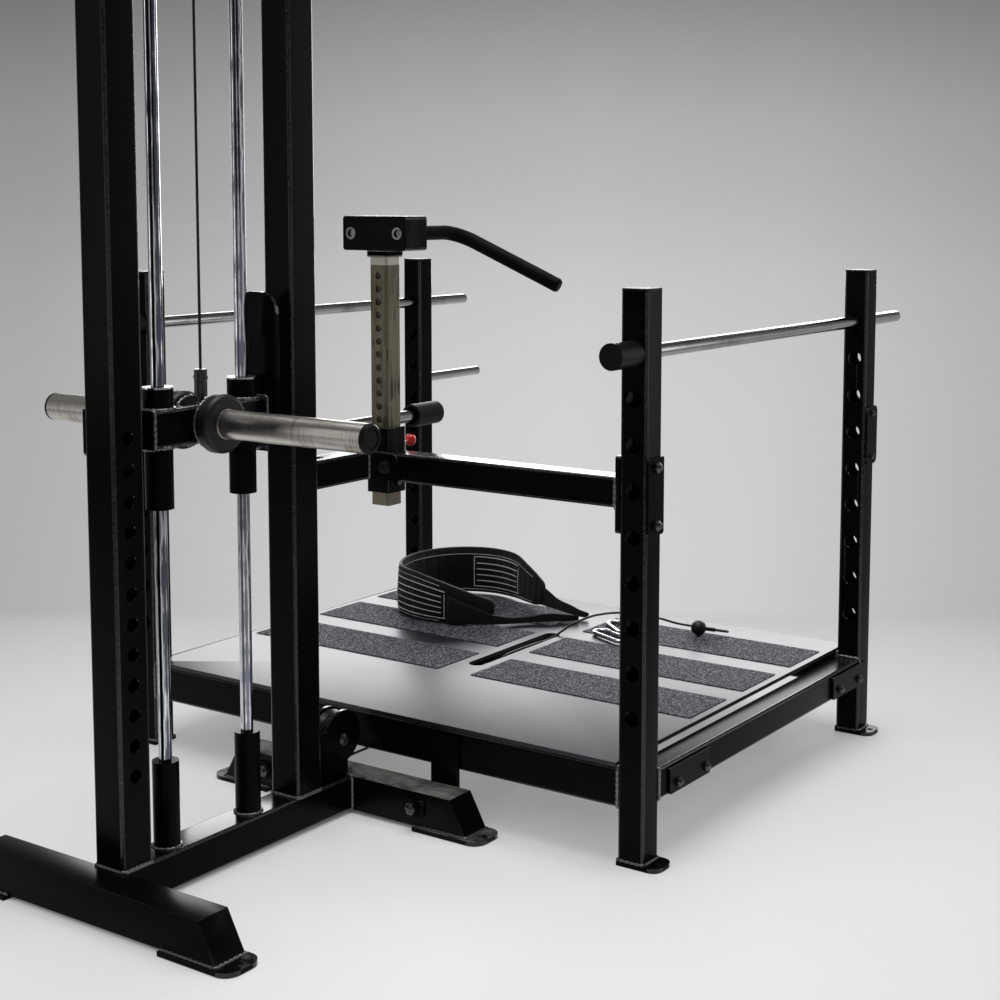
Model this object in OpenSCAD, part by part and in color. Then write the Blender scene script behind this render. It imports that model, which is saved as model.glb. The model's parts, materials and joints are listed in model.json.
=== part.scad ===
// Belt squat machine: a cable tower with a plate-loaded carriage, and a platform
// with hand posts that the cable reaches through a slot in the deck.
// Millimetres, Z up. The row's origin is on the floor, under the middle of the machine.

/* [Tower] */
// Outer width of the square tower and base tubes
tube_w = 65; // [55:1:75]
// Wall of the square tower and base tubes
tube_wall = 3; // [2:0.5:5]
// Outer corner radius of the square tubes
tube_round = 5; // [3.5:0.5:6]
// Clear distance between the two uprights
upright_gap = 354; // [330:2:400]
// Height of the uprights' top ends
upright_top = 1935; // [1800:5:2100]
// Length of the base beam behind the rear upright
base_tail = 86; // [80:1:120]
// Diameter of the pin holes in the near upright
pin_hole_d = 24; // [16:1:30]
// Spacing of the pin holes
pin_hole_pitch = 50; // [40:1:60]
// Height of the highest pin hole
pin_hole_top = 775; // [725:5:900]
// Number of pin holes
pin_hole_count = 12; // [4:1:12]

/* [Feet] */
// Half length of a cross foot along the floor
foot_reach = 297; // [260:1:360]
// How much shorter the foot is at its top on each side
foot_slope = 36; // [10:1:60]
// Thickness of the plates under the feet and posts
foot_plate_t = 8; // [5:1:12]
// Width of a foot plate across the foot
foot_plate_w = 80; // [76:1:100]
// How far a foot plate runs out past the foot
foot_plate_out = 33; // [28:1:50]
// Length of a foot plate
foot_plate_len = 150; // [100:5:200]
// Diameter of the floor anchor holes
anchor_d = 12; // [8:1:14]
// Distance from a foot plate's outer end to its anchor hole
anchor_inset = 14; // [11:1:18]

/* [Guide rods] */
// Diameter of the guide rods
rod_d = 22; // [18:1:28]
// Distance from the near upright's rear face to the near rod
rod_inset = 63; // [55:1:80]
// Distance between the two guide rods
rod_spacing = 196; // [180:2:210]
// Outer diameter of the stop tubes round the rods
stop_d = 45; // [36:1:50]
// Length of the stop tubes
stop_len = 147; // [100:1:180]
// Thickness of the buffer ring on each stop tube
stop_ring_t = 5; // [3:1:8]

/* [Carriage] */
// Height of the middle of the carriage beam
carriage_z = 780; // [760:5:860]
// Width of the carriage beam
carriage_w = 50; // [44:1:56]
// Depth of the carriage beam
carriage_h = 62; // [56:1:70]
// Wall of the carriage beam
carriage_wall = 4; // [3:0.5:6]
// Distance from the near rod to the carriage beam's near end
beam_near_end = 32; // [30:1:34]
// Distance from the far rod to the carriage beam's far end
beam_far_end = 38; // [30:1:42]
// Diameter of the sleeves that slide on the rods
sleeve_d = 47; // [38:1:48]
// How far the sleeves reach below the carriage beam
sleeve_drop = 103; // [60:1:140]
// Diameter of the collars over the carriage beam
collar_d = 51; // [50:1:56]
// Height of the collars
collar_h = 34; // [20:1:50]
// Length of one slide bush
bush_len = 40; // [25:1:50]
// Outer diameter of the slide bushes
bush_d = 34; // [30:1:36]
// Diameter of the plate horns
horn_d = 49; // [40:1:50]
// Wall of the plate horns
horn_wall = 6; // [4:0.5:10]
// Reach of a plate horn's steel from the machine's middle
horn_reach = 363; // [250:1:420]
// Length of the end plugs' heads
plug_len = 8; // [4:1:14]
// Diameter of the rubber bumper discs
bumper_d = 100; // [80:1:120]
// Thickness of the rubber bumper discs
bumper_t = 30; // [15:1:40]
// Thickness of the flange behind each bumper disc
flange_t = 6; // [4:1:10]
// Width of the carriage's tall end plate
end_plate_w = 94; // [90:1:110]
// Thickness of the carriage's tall end plate
end_plate_t = 8; // [5:1:12]
// Height of the end plate's top over the carriage beam's middle
end_plate_up = 213; // [120:1:260]
// Corner radius of the end plate
end_plate_r = 38; // [10:1:42]
// Thickness of the guide ear beside the near upright
ear_t = 5; // [4:1:8]
// Running gap between the guide ear and the upright
ear_gap = 0.8; // [0.5:0.1:2]

/* [Carriage latch] */
// Diameter of the latch bar
latch_d = 25; // [20:1:26]
// Height of the latch bar
latch_z = 720; // [700:1:730]
// Length of the latch bar between the carriage and its grip
latch_len = 497; // [400:1:540]
// Diameter of the latch bar's grip
latch_grip_d = 46; // [36:1:50]
// Length of the latch bar's grip
latch_grip_len = 79; // [60:1:110]
// Overlap of the latch bar under the carriage's end plate
latch_bite = 7; // [4:1:7]

/* [Cable and pulleys] */
// Diameter of the wire cable
cable_d = 5; // [4:0.5:6]
// Distance from the rear upright to the cable that runs down behind it
cable_back_gap = 26; // [20:1:30]
// Radius of the cable's path round a tower pulley
tower_pulley_r = 47; // [40:1:52]
// Radius of the cable's path round the deck pulley
deck_pulley_r = 34; // [28:1:34]
// Height of the cable where it runs along the floor
cable_low_z = 98; // [97:0.5:98.5]
// Height of the top pulleys' axles over the tower's top beam
top_pulley_up = 62; // [58:1:80]
// Thickness of a pulley wheel
pulley_w = 26; // [20:1:26]
// Diameter of the pulley axles
axle_d = 16; // [10:1:20]
// Thickness of the pulley side plates
cheek_t = 6; // [4:1:8]
// Gap between a pulley wheel and its side plates
cheek_gap = 3; // [1:0.5:5]

/* [Platform] */
// Distance from the machine's middle to the middle of a post
post_x = 596; // [560:1:640]
// Width of the square posts and deck beams
post_w = 52; // [48:1:56]
// Wall of the posts and deck beams
post_wall = 3; // [2:0.5:5]
// Distance between the front and rear posts
post_spacing = 919; // [850:5:1000]
// Height of the posts
post_h = 1000; // [960:5:1100]
// Diameter of the holes through the posts
post_hole_d = 29; // [26:1:34]
// Spacing of the holes through the posts
post_hole_pitch = 79; // [60:1:79]
// Number of holes under the hand bars
post_hole_count = 8; // [3:1:8]
// Distance from the posts' tops down to the holes that carry the hand bars
bar_hole_drop = 104; // [70:1:120]
// Diameter of the hand bars
hand_bar_d = 25; // [20:1:25]
// Length of a hand bar behind its knob
hand_bar_len = 1142; // [1010:2:1200]
// Diameter of the hand bars' knobs
hand_knob_d = 46; // [40:1:56]
// Length of the hand bars' knobs
hand_knob_len = 74; // [40:1:100]
// Height of the storage peg
peg_z = 700; // [640:1:720]
// Diameter of the storage peg
peg_d = 23; // [18:1:28]
// Length of the storage peg
peg_len = 233; // [150:1:260]
// Height of the post caps
cap_h = 4; // [3:1:8]
// Depth of the deck's front and rear beams
cross_beam_h = 73; // [60:1:74]
// Depth of the deck's side beams
side_beam_h = 57; // [40:1:60]

/* [Deck] */
// Height of the deck's surface
deck_top = 183; // [181:1:190]
// Thickness of the deck plate
deck_t = 8; // [5:1:10]
// Distance from the platform's front face to the slot
slot_start = 356; // [340:1:380]
// Length of the slot
slot_len = 320; // [250:2:360]
// Width of the slot
slot_w = 36; // [36:1:44]
// Distance from the platform's front face to the deck pulley's axle
deck_pulley_y = 416; // [405:1:420]
// Thickness of the grip strips
grip_t = 1.5; // [1:0.1:3]
// Distance from the platform's front face to the first grip strip
grip_start = 292; // [250:2:300]
// Distance from one grip strip to the next
grip_pitch = 215; // [190:1:220]
// Depth of a grip strip
grip_w = 146; // [100:1:160]
// Distance from the machine's middle to the grip strips
grip_inset = 42; // [38:1:60]
// Gap between the grip strips and the deck's side edges
grip_edge = 16; // [5:1:40]

/* [Hand support] */
// Width of the support arm and the cross bar
support_w = 50; // [44:1:50]
// Depth of the support arm and the cross bar
support_h = 53; // [44:1:60]
// Height of the top of the support arm and the cross bar
support_top = 681; // [670:1:690]
// Thickness of the bolted flange plate
support_plate_t = 6; // [4:1:9]
// Width of the square handle post
mast_w = 42; // [36:1:42]
// Length of the square handle post
mast_len = 478; // [440:1:540]
// Height of the handle post's lower end
mast_bottom = 567; // [555:1:575]
// Diameter of the height holes in the handle post
mast_hole_d = 13; // [12.5:0.5:14]
// Spacing of the height holes
mast_hole_pitch = 25; // [20:1:25]
// Number of height holes
mast_hole_count = 17; // [8:1:17]
// Outer width of the socket round the handle post
socket_w = 52; // [50:1:56]
// Running gap between the handle post and its socket
socket_gap = 0.4; // [0.3:0.05:1]
// Height of the socket over the cross bar
socket_up = 37; // [25:1:50]
// Depth of the socket under the cross bar
socket_down = 36; // [25:1:40]
// Diameter of the height pin's red knob
pull_knob_d = 23; // [18:1:30]
// Travel of the height pin
pull_travel = 12; // [8:1:14]

/* [Handle] */
// Length of the head block
head_len = 152; // [130:1:180]
// Width and height of the head block
head_w = 65; // [55:1:75]
// Corner radius of the head block
head_r = 6; // [2:1:10]
// Height of the neck between the handle post and the head block
neck_h = 11; // [6:1:20]
// Distance from the head block's middle to the handle socket
handle_x = 56; // [50:1:60]
// Diameter of the handle tube
handle_d = 28; // [22:1:32]
// Straight length of the handle towards the user
handle_stub = 120; // [90:1:140]
// Length of the handle's grip from its bend to its end
handle_grip = 238; // [180:2:270]
// Angle through which the handle bends
handle_turn = 78; // [60:1:90]
// Slope of the handle's grip, down towards its end
handle_roll = 26; // [0:1:45]

/* [Belt] */
// Thickness of the padded belt
belt_t = 10; // [6:1:12]
// Diameter of the wire that the snap hooks are bent from
hook_wire_d = 9; // [7:0.5:9]
// Length of a snap hook
hook_len = 118; // [90:1:120]
// Width of a snap hook
hook_w = 44; // [40:1:47]

/* [Hidden] */
$fn = 48;

// Gaps that do not change with the sizes
weld_gap = 0.05;      // between a round piece and the bore it is welded or pressed in
seat_gap = 0.3;       // between a moving piece at rest and what it rests on
run_gap = 0.05;       // radial running clearance of shafts, rods and axles

// Tower heights and places along Y, from the near upright's near face
base_top = foot_plate_t + tube_w;
near_back = tube_w;
rear_y = near_back + upright_gap;
rear_back = rear_y + tube_w;
rod_near_y = near_back + rod_inset;
rod_far_y = rod_near_y + rod_spacing;
lift_y = (rod_near_y + rod_far_y) / 2;
foot_near_y = -62;
foot_rear_y = rear_back + base_tail;
stop_top = base_top + stop_len;
beam_top = upright_top + tube_w;

// Platform places
link_t = 9;
link_w = 60;
bar_hole_z = post_h - bar_hole_drop;
plat_y = foot_rear_y + tube_w + link_t;
plat_len = post_spacing + post_w;
post_in = post_x - post_w / 2;
post_out = post_x + post_w / 2;
front_post_y = plat_y + post_w / 2;
rear_post_y = front_post_y + post_spacing;
deck_half = post_in - 2;
deck_under = deck_top - deck_t;
cross_beam_z = deck_under - cross_beam_h;
side_beam_z = deck_under - 8 - side_beam_h;
grip_top = deck_top + grip_t;
post_plate_w = 60;
post_plate_out = 30;
peg_tip_y = rear_post_y + post_w / 2 + peg_len;

// Link plates and their bolts, from the rear cross foot
link_bolt_x = foot_reach - foot_slope - 79;
link_bolt_z = base_top - 29;
link_low_z = foot_plate_t + 20;
link_top_z = deck_under - 11;

// The row's origin lies midway between the near foot plates and the storage peg's tip
foot_plate_near_y = foot_near_y + tube_w / 2 - foot_plate_w / 2;
origin_y = (foot_plate_near_y + peg_tip_y) / 2;

// Carriage places
beam_y0 = rod_near_y - beam_near_end;
beam_y1 = rod_far_y + beam_far_end;
beam_under = carriage_z - carriage_h / 2;
beam_over = carriage_z + carriage_h / 2;
sleeve_low = beam_under - sleeve_drop;
collar_top = beam_over + collar_h;
bush_rim_h = 3;
latch_x = -(tube_w / 2 + 15.5);
lug_z = latch_z + latch_d / 2 + seat_gap;
latch_y0 = beam_y1 + end_plate_t - latch_bite;
latch_y1 = latch_y0 + latch_len;
ear_x = -(tube_w / 2 + ear_gap);
fitting_d = 22;
fitting_low = beam_over + 12;
fitting_top = beam_over + 58;

// Pulley places
drop_y = rear_back + cable_back_gap;
top_pulley_z = beam_top + top_pulley_up;
top_near_y = lift_y + tower_pulley_r;
top_rear_y = drop_y - tower_pulley_r;
floor_pulley_y = drop_y + tower_pulley_r;
floor_pulley_z = cable_low_z + tower_pulley_r;
deck_pulley_z = cable_low_z + deck_pulley_r;
deck_axle_y = plat_y + deck_pulley_y;
cheek_in = pulley_w / 2 + cheek_gap;
cheek_out = cheek_in + cheek_t;
bolt_head_h = 7;

// Hand support places
socket_in = mast_w + 2 * socket_gap;
socket_y0 = plat_y + support_w;
mast_y = socket_y0 + socket_w / 2;
mast_top = mast_bottom + mast_len;
support_z0 = support_top - support_h;
pull_z = support_top + 2;
pull_y0 = mast_y + socket_in / 2;
barrel_len = 24;
pull_pin_d = 12;
head_z0 = mast_top + neck_h;
head_mid_z = head_z0 + head_w / 2;
handle_z = head_mid_z;
head_y1 = mast_y + head_w / 2;
handle_socket_deep = 40;

// Hand bars rest on the lower side of their larger holes
bar_z = bar_hole_z - (post_hole_d - hand_bar_d) / 2 + seat_gap;

// The loose cable on the deck: points from the platform's front face and the deck's
// surface, chosen by hand. It leaves the deck pulley upwards and lies along the slot.
tail_points = [
    [0, 450, -46], [0, 450, -36], [0, 454, -22], [0, 464, -11], [0, 480, -6], [0, 516, -5],
    [0, 556, -5], [0, 596, -6], [2, 624, -7], [5, 645, -5], [10, 659, 0], [19, 673, 9],
    [32, 689, 21], [52, 708, 33], [75, 727, 42], [114, 752, 48], [158, 778, 45],
    [198, 799, 37], [232, 817, 27], [258.8, 830.7, 22.7]
];
ball_at = [274, 838, 18.8];
ball_d = 34;
eye_turn = 41;
eye_drop = 9;

// The belt stands on edge on the deck in an open loop: place across, place along from
// the platform's front face, and the heights of its lower and upper edges over the strips
belt_route = [
    [-12, 790, 1, 16], [-58, 752, 1, 22], [-112, 694, 0.5, 38], [-172, 636, 0.5, 64],
    [-245, 598, 0.5, 92], [-325, 592, 0.5, 110], [-400, 622, 0.5, 113], [-446, 684, 0.5, 113],
    [-462, 754, 0.5, 113], [-448, 830, 0.5, 113], [-402, 886, 0.5, 113], [-332, 908, 0.5, 113],
    [-262, 894, 2, 110], [-206, 862, 6, 96], [-150, 838, 8, 74], [-92, 826, 6, 46],
    [-40, 822, 2, 24], [-4, 820, 1, 16]
];

// Where the two snap hooks' lower ends lie: place across, place along from the
// platform's front face, and turn
hook_at = [[180, 684, 66], [150, 745, 50]];
gate_y0 = (hook_len - hook_w) * 0.12;
gate_y1 = (hook_len - hook_w) * 0.88;

// Diameter of a plate horn's root inside its bumper disc
horn_root_d = horn_d + 2;

// Hollow square tube along Z with rounded corners, its ends closed when capped
module tube(w, d, h, wall, capped = false) {
    end = capped ? wall : -1;
    difference() {
        linear_extrude(h) rounded_rect(w, d, tube_round);
        translate([0, 0, end]) linear_extrude(h - 2 * end)
            rounded_rect(w - 2 * wall, d - 2 * wall, max(tube_round - wall, 0.5));
    }
}

// A rod along Y from y0 to y1
module rod_y(x, y0, y1, z, d) {
    translate([x, y0, z]) rotate([-90, 0, 0]) cylinder(d = d, h = y1 - y0);
}

// A rod along X from x0 to x1
module rod_x(x0, x1, y, z, d) {
    translate([x0, y, z]) rotate([0, 90, 0]) cylinder(d = d, h = x1 - x0);
}

// Flat outline of a bar with both corners of its far end rounded
module tongue(len, w, r) {
    translate([0, -w / 2]) square([len - r, w]);
    translate([0, -w / 2 + r]) square([len, w - 2 * r]);
    for (s = [-1, 1]) translate([len - r, s * (w / 2 - r)]) circle(r);
}

// Flat rectangle with four rounded corners, centred
module rounded_rect(w, h, r) {
    square([w - 2 * r, h], center = true);
    square([w, h - 2 * r], center = true);
    for (sx = [-1, 1], sy = [-1, 1]) translate([sx * (w / 2 - r), sy * (h / 2 - r)]) circle(r);
}

module mirror_x() {
    children();
    mirror([1, 0, 0]) children();
}

// Dome nut or button head along +X
module dome_x(d, h) {
    rotate([0, 90, 0]) {
        cylinder(d = d, h = h * 0.45);
        translate([0, 0, h * 0.45]) cylinder(d1 = d * 0.92, d2 = d * 0.45, h = h * 0.55);
    }
}

module near_upright() {
    color("#1b1b1c") difference() {
        translate([0, tube_w / 2, base_top]) tube(tube_w, tube_w, upright_top - base_top, tube_wall);
        for (k = [0 : pin_hole_count - 1])
            rod_x(-tube_w, tube_w, tube_w / 2, pin_hole_top - k * pin_hole_pitch, pin_hole_d);
    }
}

module rear_upright() {
    color("#1b1b1c")
        translate([0, rear_y + tube_w / 2, base_top]) tube(tube_w, tube_w, upright_top - base_top, tube_wall);
}

// The top beam lies on both uprights, with a hole that the lifting cable passes through
module top_beam() {
    color("#1b1b1c") difference() {
        translate([0, rear_back, upright_top + tube_w / 2]) rotate([90, 0, 0])
            tube(tube_w, tube_w, rear_back, tube_wall, true);
        translate([0, lift_y, upright_top - 1]) cylinder(d = 20, h = tube_w + 2);
    }
}

module base_beam() {
    color("#1b1b1c")
        translate([0, foot_rear_y, foot_plate_t + tube_w / 2]) rotate([90, 0, 0])
            tube(tube_w, tube_w, foot_rear_y - foot_near_y - tube_w, tube_wall, true);
}

// Cross foot with sloping closed ends, standing on two drilled floor plates
module cross_foot(y0) {
    w = tube_wall;
    z0 = foot_plate_t;
    z1 = foot_plate_t + tube_w;
    top = foot_reach - foot_slope;
    slope_w = w * sqrt(1 + pow(foot_slope / tube_w, 2));
    dx = foot_slope * w / tube_w;
    outer = [[-foot_reach, z0], [foot_reach, z0], [top, z1], [-top, z1]];
    inner = [[-foot_reach + slope_w + dx, z0 + w], [foot_reach - slope_w - dx, z0 + w],
        [top - slope_w + dx, z1 - w], [-top + slope_w - dx, z1 - w]];
    translate([0, y0 + tube_w, 0]) rotate([90, 0, 0]) difference() {
        linear_extrude(tube_w) polygon(outer);
        translate([0, 0, w]) linear_extrude(tube_w - 2 * w) polygon(inner);
    }
    plate_x1 = foot_reach + foot_plate_out;
    mirror_x() translate([plate_x1 - foot_plate_len, y0 + tube_w / 2, 0])
        linear_extrude(foot_plate_t) difference() {
            tongue(foot_plate_len, foot_plate_w, foot_plate_w / 3);
            translate([foot_plate_len - anchor_inset, 0]) circle(d = anchor_d);
        }
}

module near_foot() {
    color("#1b1b1c") cross_foot(foot_near_y);
}

module rear_foot() {
    color("#1b1b1c") cross_foot(foot_rear_y);
}

module guide_rods() {
    color("#d8dade") for (y = [rod_near_y, rod_far_y])
        translate([0, y, base_top]) cylinder(d = rod_d, h = upright_top - base_top);
}

// Stop tubes over the feet of the rods, each with a buffer ring on top
module rod_stops() {
    color("#202022") for (y = [rod_near_y, rod_far_y]) translate([0, y, base_top]) {
        difference() {
            cylinder(d = stop_d, h = stop_len - stop_ring_t);
            translate([0, 0, -1]) cylinder(d = rod_d + 2 * weld_gap, h = stop_len + 2);
        }
        translate([0, 0, stop_len - stop_ring_t]) difference() {
            cylinder(d = stop_d, h = stop_ring_t);
            translate([0, 0, -1]) cylinder(d = rod_d + 2 * weld_gap, h = stop_ring_t + 2);
        }
    }
}

// Side plates that hold the top pulleys on the beam and the floor pulley on the base
module pulley_plates() {
    top_r = tower_pulley_r - 3;
    top_len = top_rear_y - top_near_y;
    low_r = tower_pulley_r + 3;
    color("#1b1b1c") mirror_x() translate([cheek_in, 0, 0]) {
        translate([0, top_near_y, beam_top]) rotate([90, 0, 90]) linear_extrude(cheek_t) difference() {
            union() {
                translate([-top_r, 0]) square([top_len + 2 * top_r, top_pulley_up]);
                translate([0, top_pulley_up]) square([top_len, top_r]);
                for (y = [0, top_len]) translate([y, top_pulley_up]) circle(top_r);
            }
            for (y = [0, top_len]) translate([y, top_pulley_up]) circle(d = axle_d + 2 * weld_gap);
        }
        translate([0, floor_pulley_y, 0]) rotate([90, 0, 90]) linear_extrude(cheek_t) difference() {
            union() {
                translate([0, floor_pulley_z + 6]) circle(low_r);
                translate([rear_back - floor_pulley_y, base_top])
                    square([floor_pulley_y - rear_back + 14, floor_pulley_z - base_top + 6]);
                translate([rear_back - floor_pulley_y, floor_pulley_z])
                    square([floor_pulley_y - rear_back - low_r + 20, 26]);
            }
            translate([0, floor_pulley_z]) circle(d = axle_d + 2 * weld_gap);
        }
    }
}

// Axle through the two side plates with a round head at each end
module axle(y, z, d, in, out) {
    rod_x(-out, out, y, z, d);
    mirror_x() translate([out, y, z]) dome_x(d * 1.5, bolt_head_h);
}

module pulley_axles() {
    color("#3a3a3c") {
        axle(top_near_y, top_pulley_z, axle_d, cheek_in, cheek_out);
        axle(top_rear_y, top_pulley_z, axle_d, cheek_in, cheek_out);
        axle(floor_pulley_y, floor_pulley_z, axle_d, cheek_in, cheek_out);
        axle(deck_axle_y, deck_pulley_z, axle_d, cheek_in, cheek_out);
    }
}

// Grooved pulley wheel turning on its axle
module sheave(y, z, r) {
    groove = r - cable_d / 2 - seat_gap;
    rim = r + cable_d / 2 + 2;
    half = pulley_w / 2;
    throat = cable_d / 2 + 0.6;
    translate([0, y, z]) rotate([0, 90, 0]) rotate_extrude() polygon([
        [axle_d / 2 + run_gap, -half], [rim, -half], [rim, -half + 2], [groove + 1.5, -throat],
        [groove, -throat + 1.5], [groove, throat - 1.5], [groove + 1.5, throat],
        [rim, half - 2], [rim, half], [axle_d / 2 + run_gap, half]
    ]);
}

module sheave_top_near() {
    color("#2c2d2f") sheave(top_near_y, top_pulley_z, tower_pulley_r);
}

module sheave_top_rear() {
    color("#2c2d2f") sheave(top_rear_y, top_pulley_z, tower_pulley_r);
}

module sheave_floor() {
    color("#2c2d2f") sheave(floor_pulley_y, floor_pulley_z, tower_pulley_r);
}

module sheave_deck() {
    color("#2c2d2f") sheave(deck_axle_y, deck_pulley_z, deck_pulley_r);
}

// Plates that join the platform's front beam to the rear cross foot
module link_plates() {
    pad_w = 46;
    pad_h = 32;
    color("#1b1b1c") mirror_x() {
        translate([link_bolt_x - 12, plat_y - link_t, link_low_z])
            cube([link_w, link_t, link_top_z - link_low_z]);
        translate([link_bolt_x, foot_rear_y, link_bolt_z]) rotate([90, 0, 0])
            linear_extrude(support_plate_t) rounded_rect(pad_w, pad_h, 8);
    }
}

// Two posts, each hollow, drilled through along Y and standing on a floor plate
module post_pair(y) {
    mirror_x() {
        translate([post_x, y, 0]) difference() {
            translate([0, 0, foot_plate_t]) tube(post_w, post_w, post_h - foot_plate_t, post_wall);
            for (k = [0 : post_hole_count - 1])
                rod_y(0, -post_w, post_w, bar_hole_z - (k + 1) * post_hole_pitch, post_hole_d);
            rod_y(0, -post_w, post_w, bar_hole_z, post_hole_d);
        }
        translate([post_in, y, 0]) linear_extrude(foot_plate_t) difference() {
            tongue(post_w + post_plate_out, post_plate_w, post_plate_w / 3);
            translate([post_w + post_plate_out - 13, 0]) circle(d = anchor_d);
        }
    }
}

module front_posts() {
    color("#1b1b1c") post_pair(front_post_y);
}

module rear_posts() {
    color("#1b1b1c") post_pair(rear_post_y);
}

module post_caps() {
    spigot = post_w - 2 * post_wall - 2 * weld_gap;
    color("#232324") mirror_x() for (y = [front_post_y, rear_post_y]) translate([post_x, y, post_h]) {
        linear_extrude(cap_h) rounded_rect(post_w, post_w, tube_round);
        translate([0, 0, -12]) linear_extrude(12) rounded_rect(spigot, spigot, 3);
    }
}

module cross_beams() {
    color("#1b1b1c") for (y = [front_post_y, rear_post_y])
        translate([-post_in, y, cross_beam_z + cross_beam_h / 2]) rotate([0, 90, 0])
            tube(cross_beam_h, post_w, 2 * post_in, post_wall, true);
}

module side_beams() {
    color("#1b1b1c") mirror_x()
        translate([post_x, rear_post_y - post_w / 2, side_beam_z + side_beam_h / 2]) rotate([90, 0, 0])
            tube(post_w, side_beam_h, post_spacing - post_w, post_wall, true);
}

// Stringers under the deck, with the deck pulley's side plates between them
module deck_stringers() {
    stringer_h = 50;
    stringer_w = 40;
    y0 = plat_y + post_w;
    len = post_spacing - post_w;
    cheek_len = 2 * deck_pulley_r + 20;
    color("#1b1b1c") mirror_x() {
        translate([cheek_out + 15 + stringer_w / 2, y0 + len, deck_under - stringer_h / 2])
            rotate([90, 0, 0]) tube(stringer_w, stringer_h, len, post_wall, true);
        difference() {
            translate([cheek_in, deck_axle_y - cheek_len / 2, deck_pulley_z - 16])
                cube([cheek_t, cheek_len, deck_under - deck_pulley_z + 16]);
            rod_x(0, cheek_out + 1, deck_axle_y, deck_pulley_z, axle_d + 2 * weld_gap);
        }
        translate([cheek_out, deck_axle_y - cheek_len / 2, deck_under - 8])
            cube([15, cheek_len, 8]);
    }
}

// Flat deck plate with a long slot that the cable comes up through
module deck_plate() {
    overhang = 3;
    color("#2a2b2d") translate([0, 0, deck_under]) difference() {
        translate([-deck_half, plat_y - overhang, 0])
            cube([2 * deck_half, plat_len + 2 * overhang - 6, deck_t]);
        translate([0, plat_y + slot_start + slot_w / 2, -1]) cylinder(d = slot_w, h = deck_t + 2);
        translate([0, plat_y + slot_start + slot_len - slot_w / 2, -1]) cylinder(d = slot_w, h = deck_t + 2);
        translate([-slot_w / 2, plat_y + slot_start + slot_w / 2, -1])
            cube([slot_w, slot_len - slot_w, deck_t + 2]);
    }
}

module grip_strips() {
    strip_len = deck_half - grip_edge - grip_inset;
    color("#4b4c4e") mirror_x() for (k = [0 : 2])
        translate([grip_inset, plat_y + grip_start + k * grip_pitch, deck_top]) cube([strip_len, grip_w, grip_t]);
}

// Bolted plates on the outer faces of the side beams and posts
side_plate_h = 48;
side_plate_z = side_beam_z + side_beam_h / 2 - side_plate_h / 2 - 3;
side_plates = [[84, 148, 30, 132], [post_spacing - 143, 166, 34, 130]];
post_plate_z = [support_top - 30 - 67, peg_z - 48 - 62];
post_plate_h = [134, 125];
plate_t = 5;

module bolt_plates() {
    color("#1b1b1c") {
        mirror_x() for (p = side_plates)
            translate([post_out, plat_y + p[0] + p[1] / 2, side_plate_z + side_plate_h / 2])
                rotate([90, 0, 90]) linear_extrude(plate_t) rounded_rect(p[1], side_plate_h, 4);
        translate([post_out, front_post_y, support_top - 30]) rotate([90, 0, 90])
            linear_extrude(plate_t) rounded_rect(post_w, post_plate_h[0], 5);
        translate([post_out, rear_post_y + 4, peg_z - 48]) rotate([90, 0, 90])
            linear_extrude(plate_t) rounded_rect(post_w, post_plate_h[1], 14);
    }
}

module dome_bolts() {
    color("#2b2b2d") {
        mirror_x() for (p = side_plates, s = [p[2], p[3]])
            translate([post_out + plate_t, plat_y + p[0] + s, side_plate_z + 16]) dome_x(17, 9);
        for (s = [-1, 1]) {
            translate([post_out + plate_t, front_post_y, support_top - 30 + s * 50]) dome_x(19, 11);
            translate([post_out + plate_t, rear_post_y + 4, peg_z - 48 + s * 46]) dome_x(13, 6);
        }
    }
}

// Hexagon bolts of the link plates and of the support arm's flange
module hex_bolts() {
    color("#3a3a3c") {
        mirror_x() {
            translate([link_bolt_x, foot_rear_y - support_plate_t, link_bolt_z]) rotate([90, 0, 0]) {
                cylinder(d = 24, h = 10, $fn = 6);
                translate([0, 0, 10]) cylinder(d1 = 19, d2 = 9, h = 5);
            }
        }
        translate([64, plat_y - support_plate_t, support_z0 + 27]) rotate([90, 0, 0]) {
            cylinder(d = 26, h = 3);
            translate([0, 0, 3]) cylinder(d = 21, h = 9, $fn = 6);
        }
        translate([socket_w / 2, mast_y, support_z0 - 16]) rotate([0, 90, 0]) cylinder(d = 13, h = 7, $fn = 6);
    }
}

// Chrome peg with a rounded tip, welded into the left rear post's back face
module storage_peg() {
    y0 = rear_post_y + post_w / 2;
    color("#d8dade") translate([-post_x, y0, peg_z]) rotate([-90, 0, 0]) {
        cylinder(d = peg_d, h = peg_len - peg_d / 3);
        translate([0, 0, peg_len - peg_d / 3]) rotate_extrude() intersection() {
            translate([0, -peg_d / 6]) scale([1, 1]) circle(d = peg_d);
            square([peg_d / 2, peg_d / 3]);
        }
    }
}

// Arm from the rear upright to the platform, slotted for the cable, with its flange plate
module support_arm() {
    len = plat_y - support_plate_t - rear_back;
    color("#1b1b1c") {
        difference() {
            translate([0, rear_back + len, support_top - support_h / 2]) rotate([90, 0, 0])
                tube(support_w, support_h, len, post_wall, true);
            translate([-9, rear_back - 1, support_z0 - 1]) cube([18, cable_back_gap + 21, support_h + 2]);
        }
        translate([-36, plat_y, support_z0 + 2]) rotate([90, 0, 0]) linear_extrude(support_plate_t) {
            square([127 - 12, support_h - 4]);
            square([127, support_h - 4 - 12]);
            translate([127 - 12, support_h - 4 - 12]) circle(12);
        }
    }
}

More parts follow.
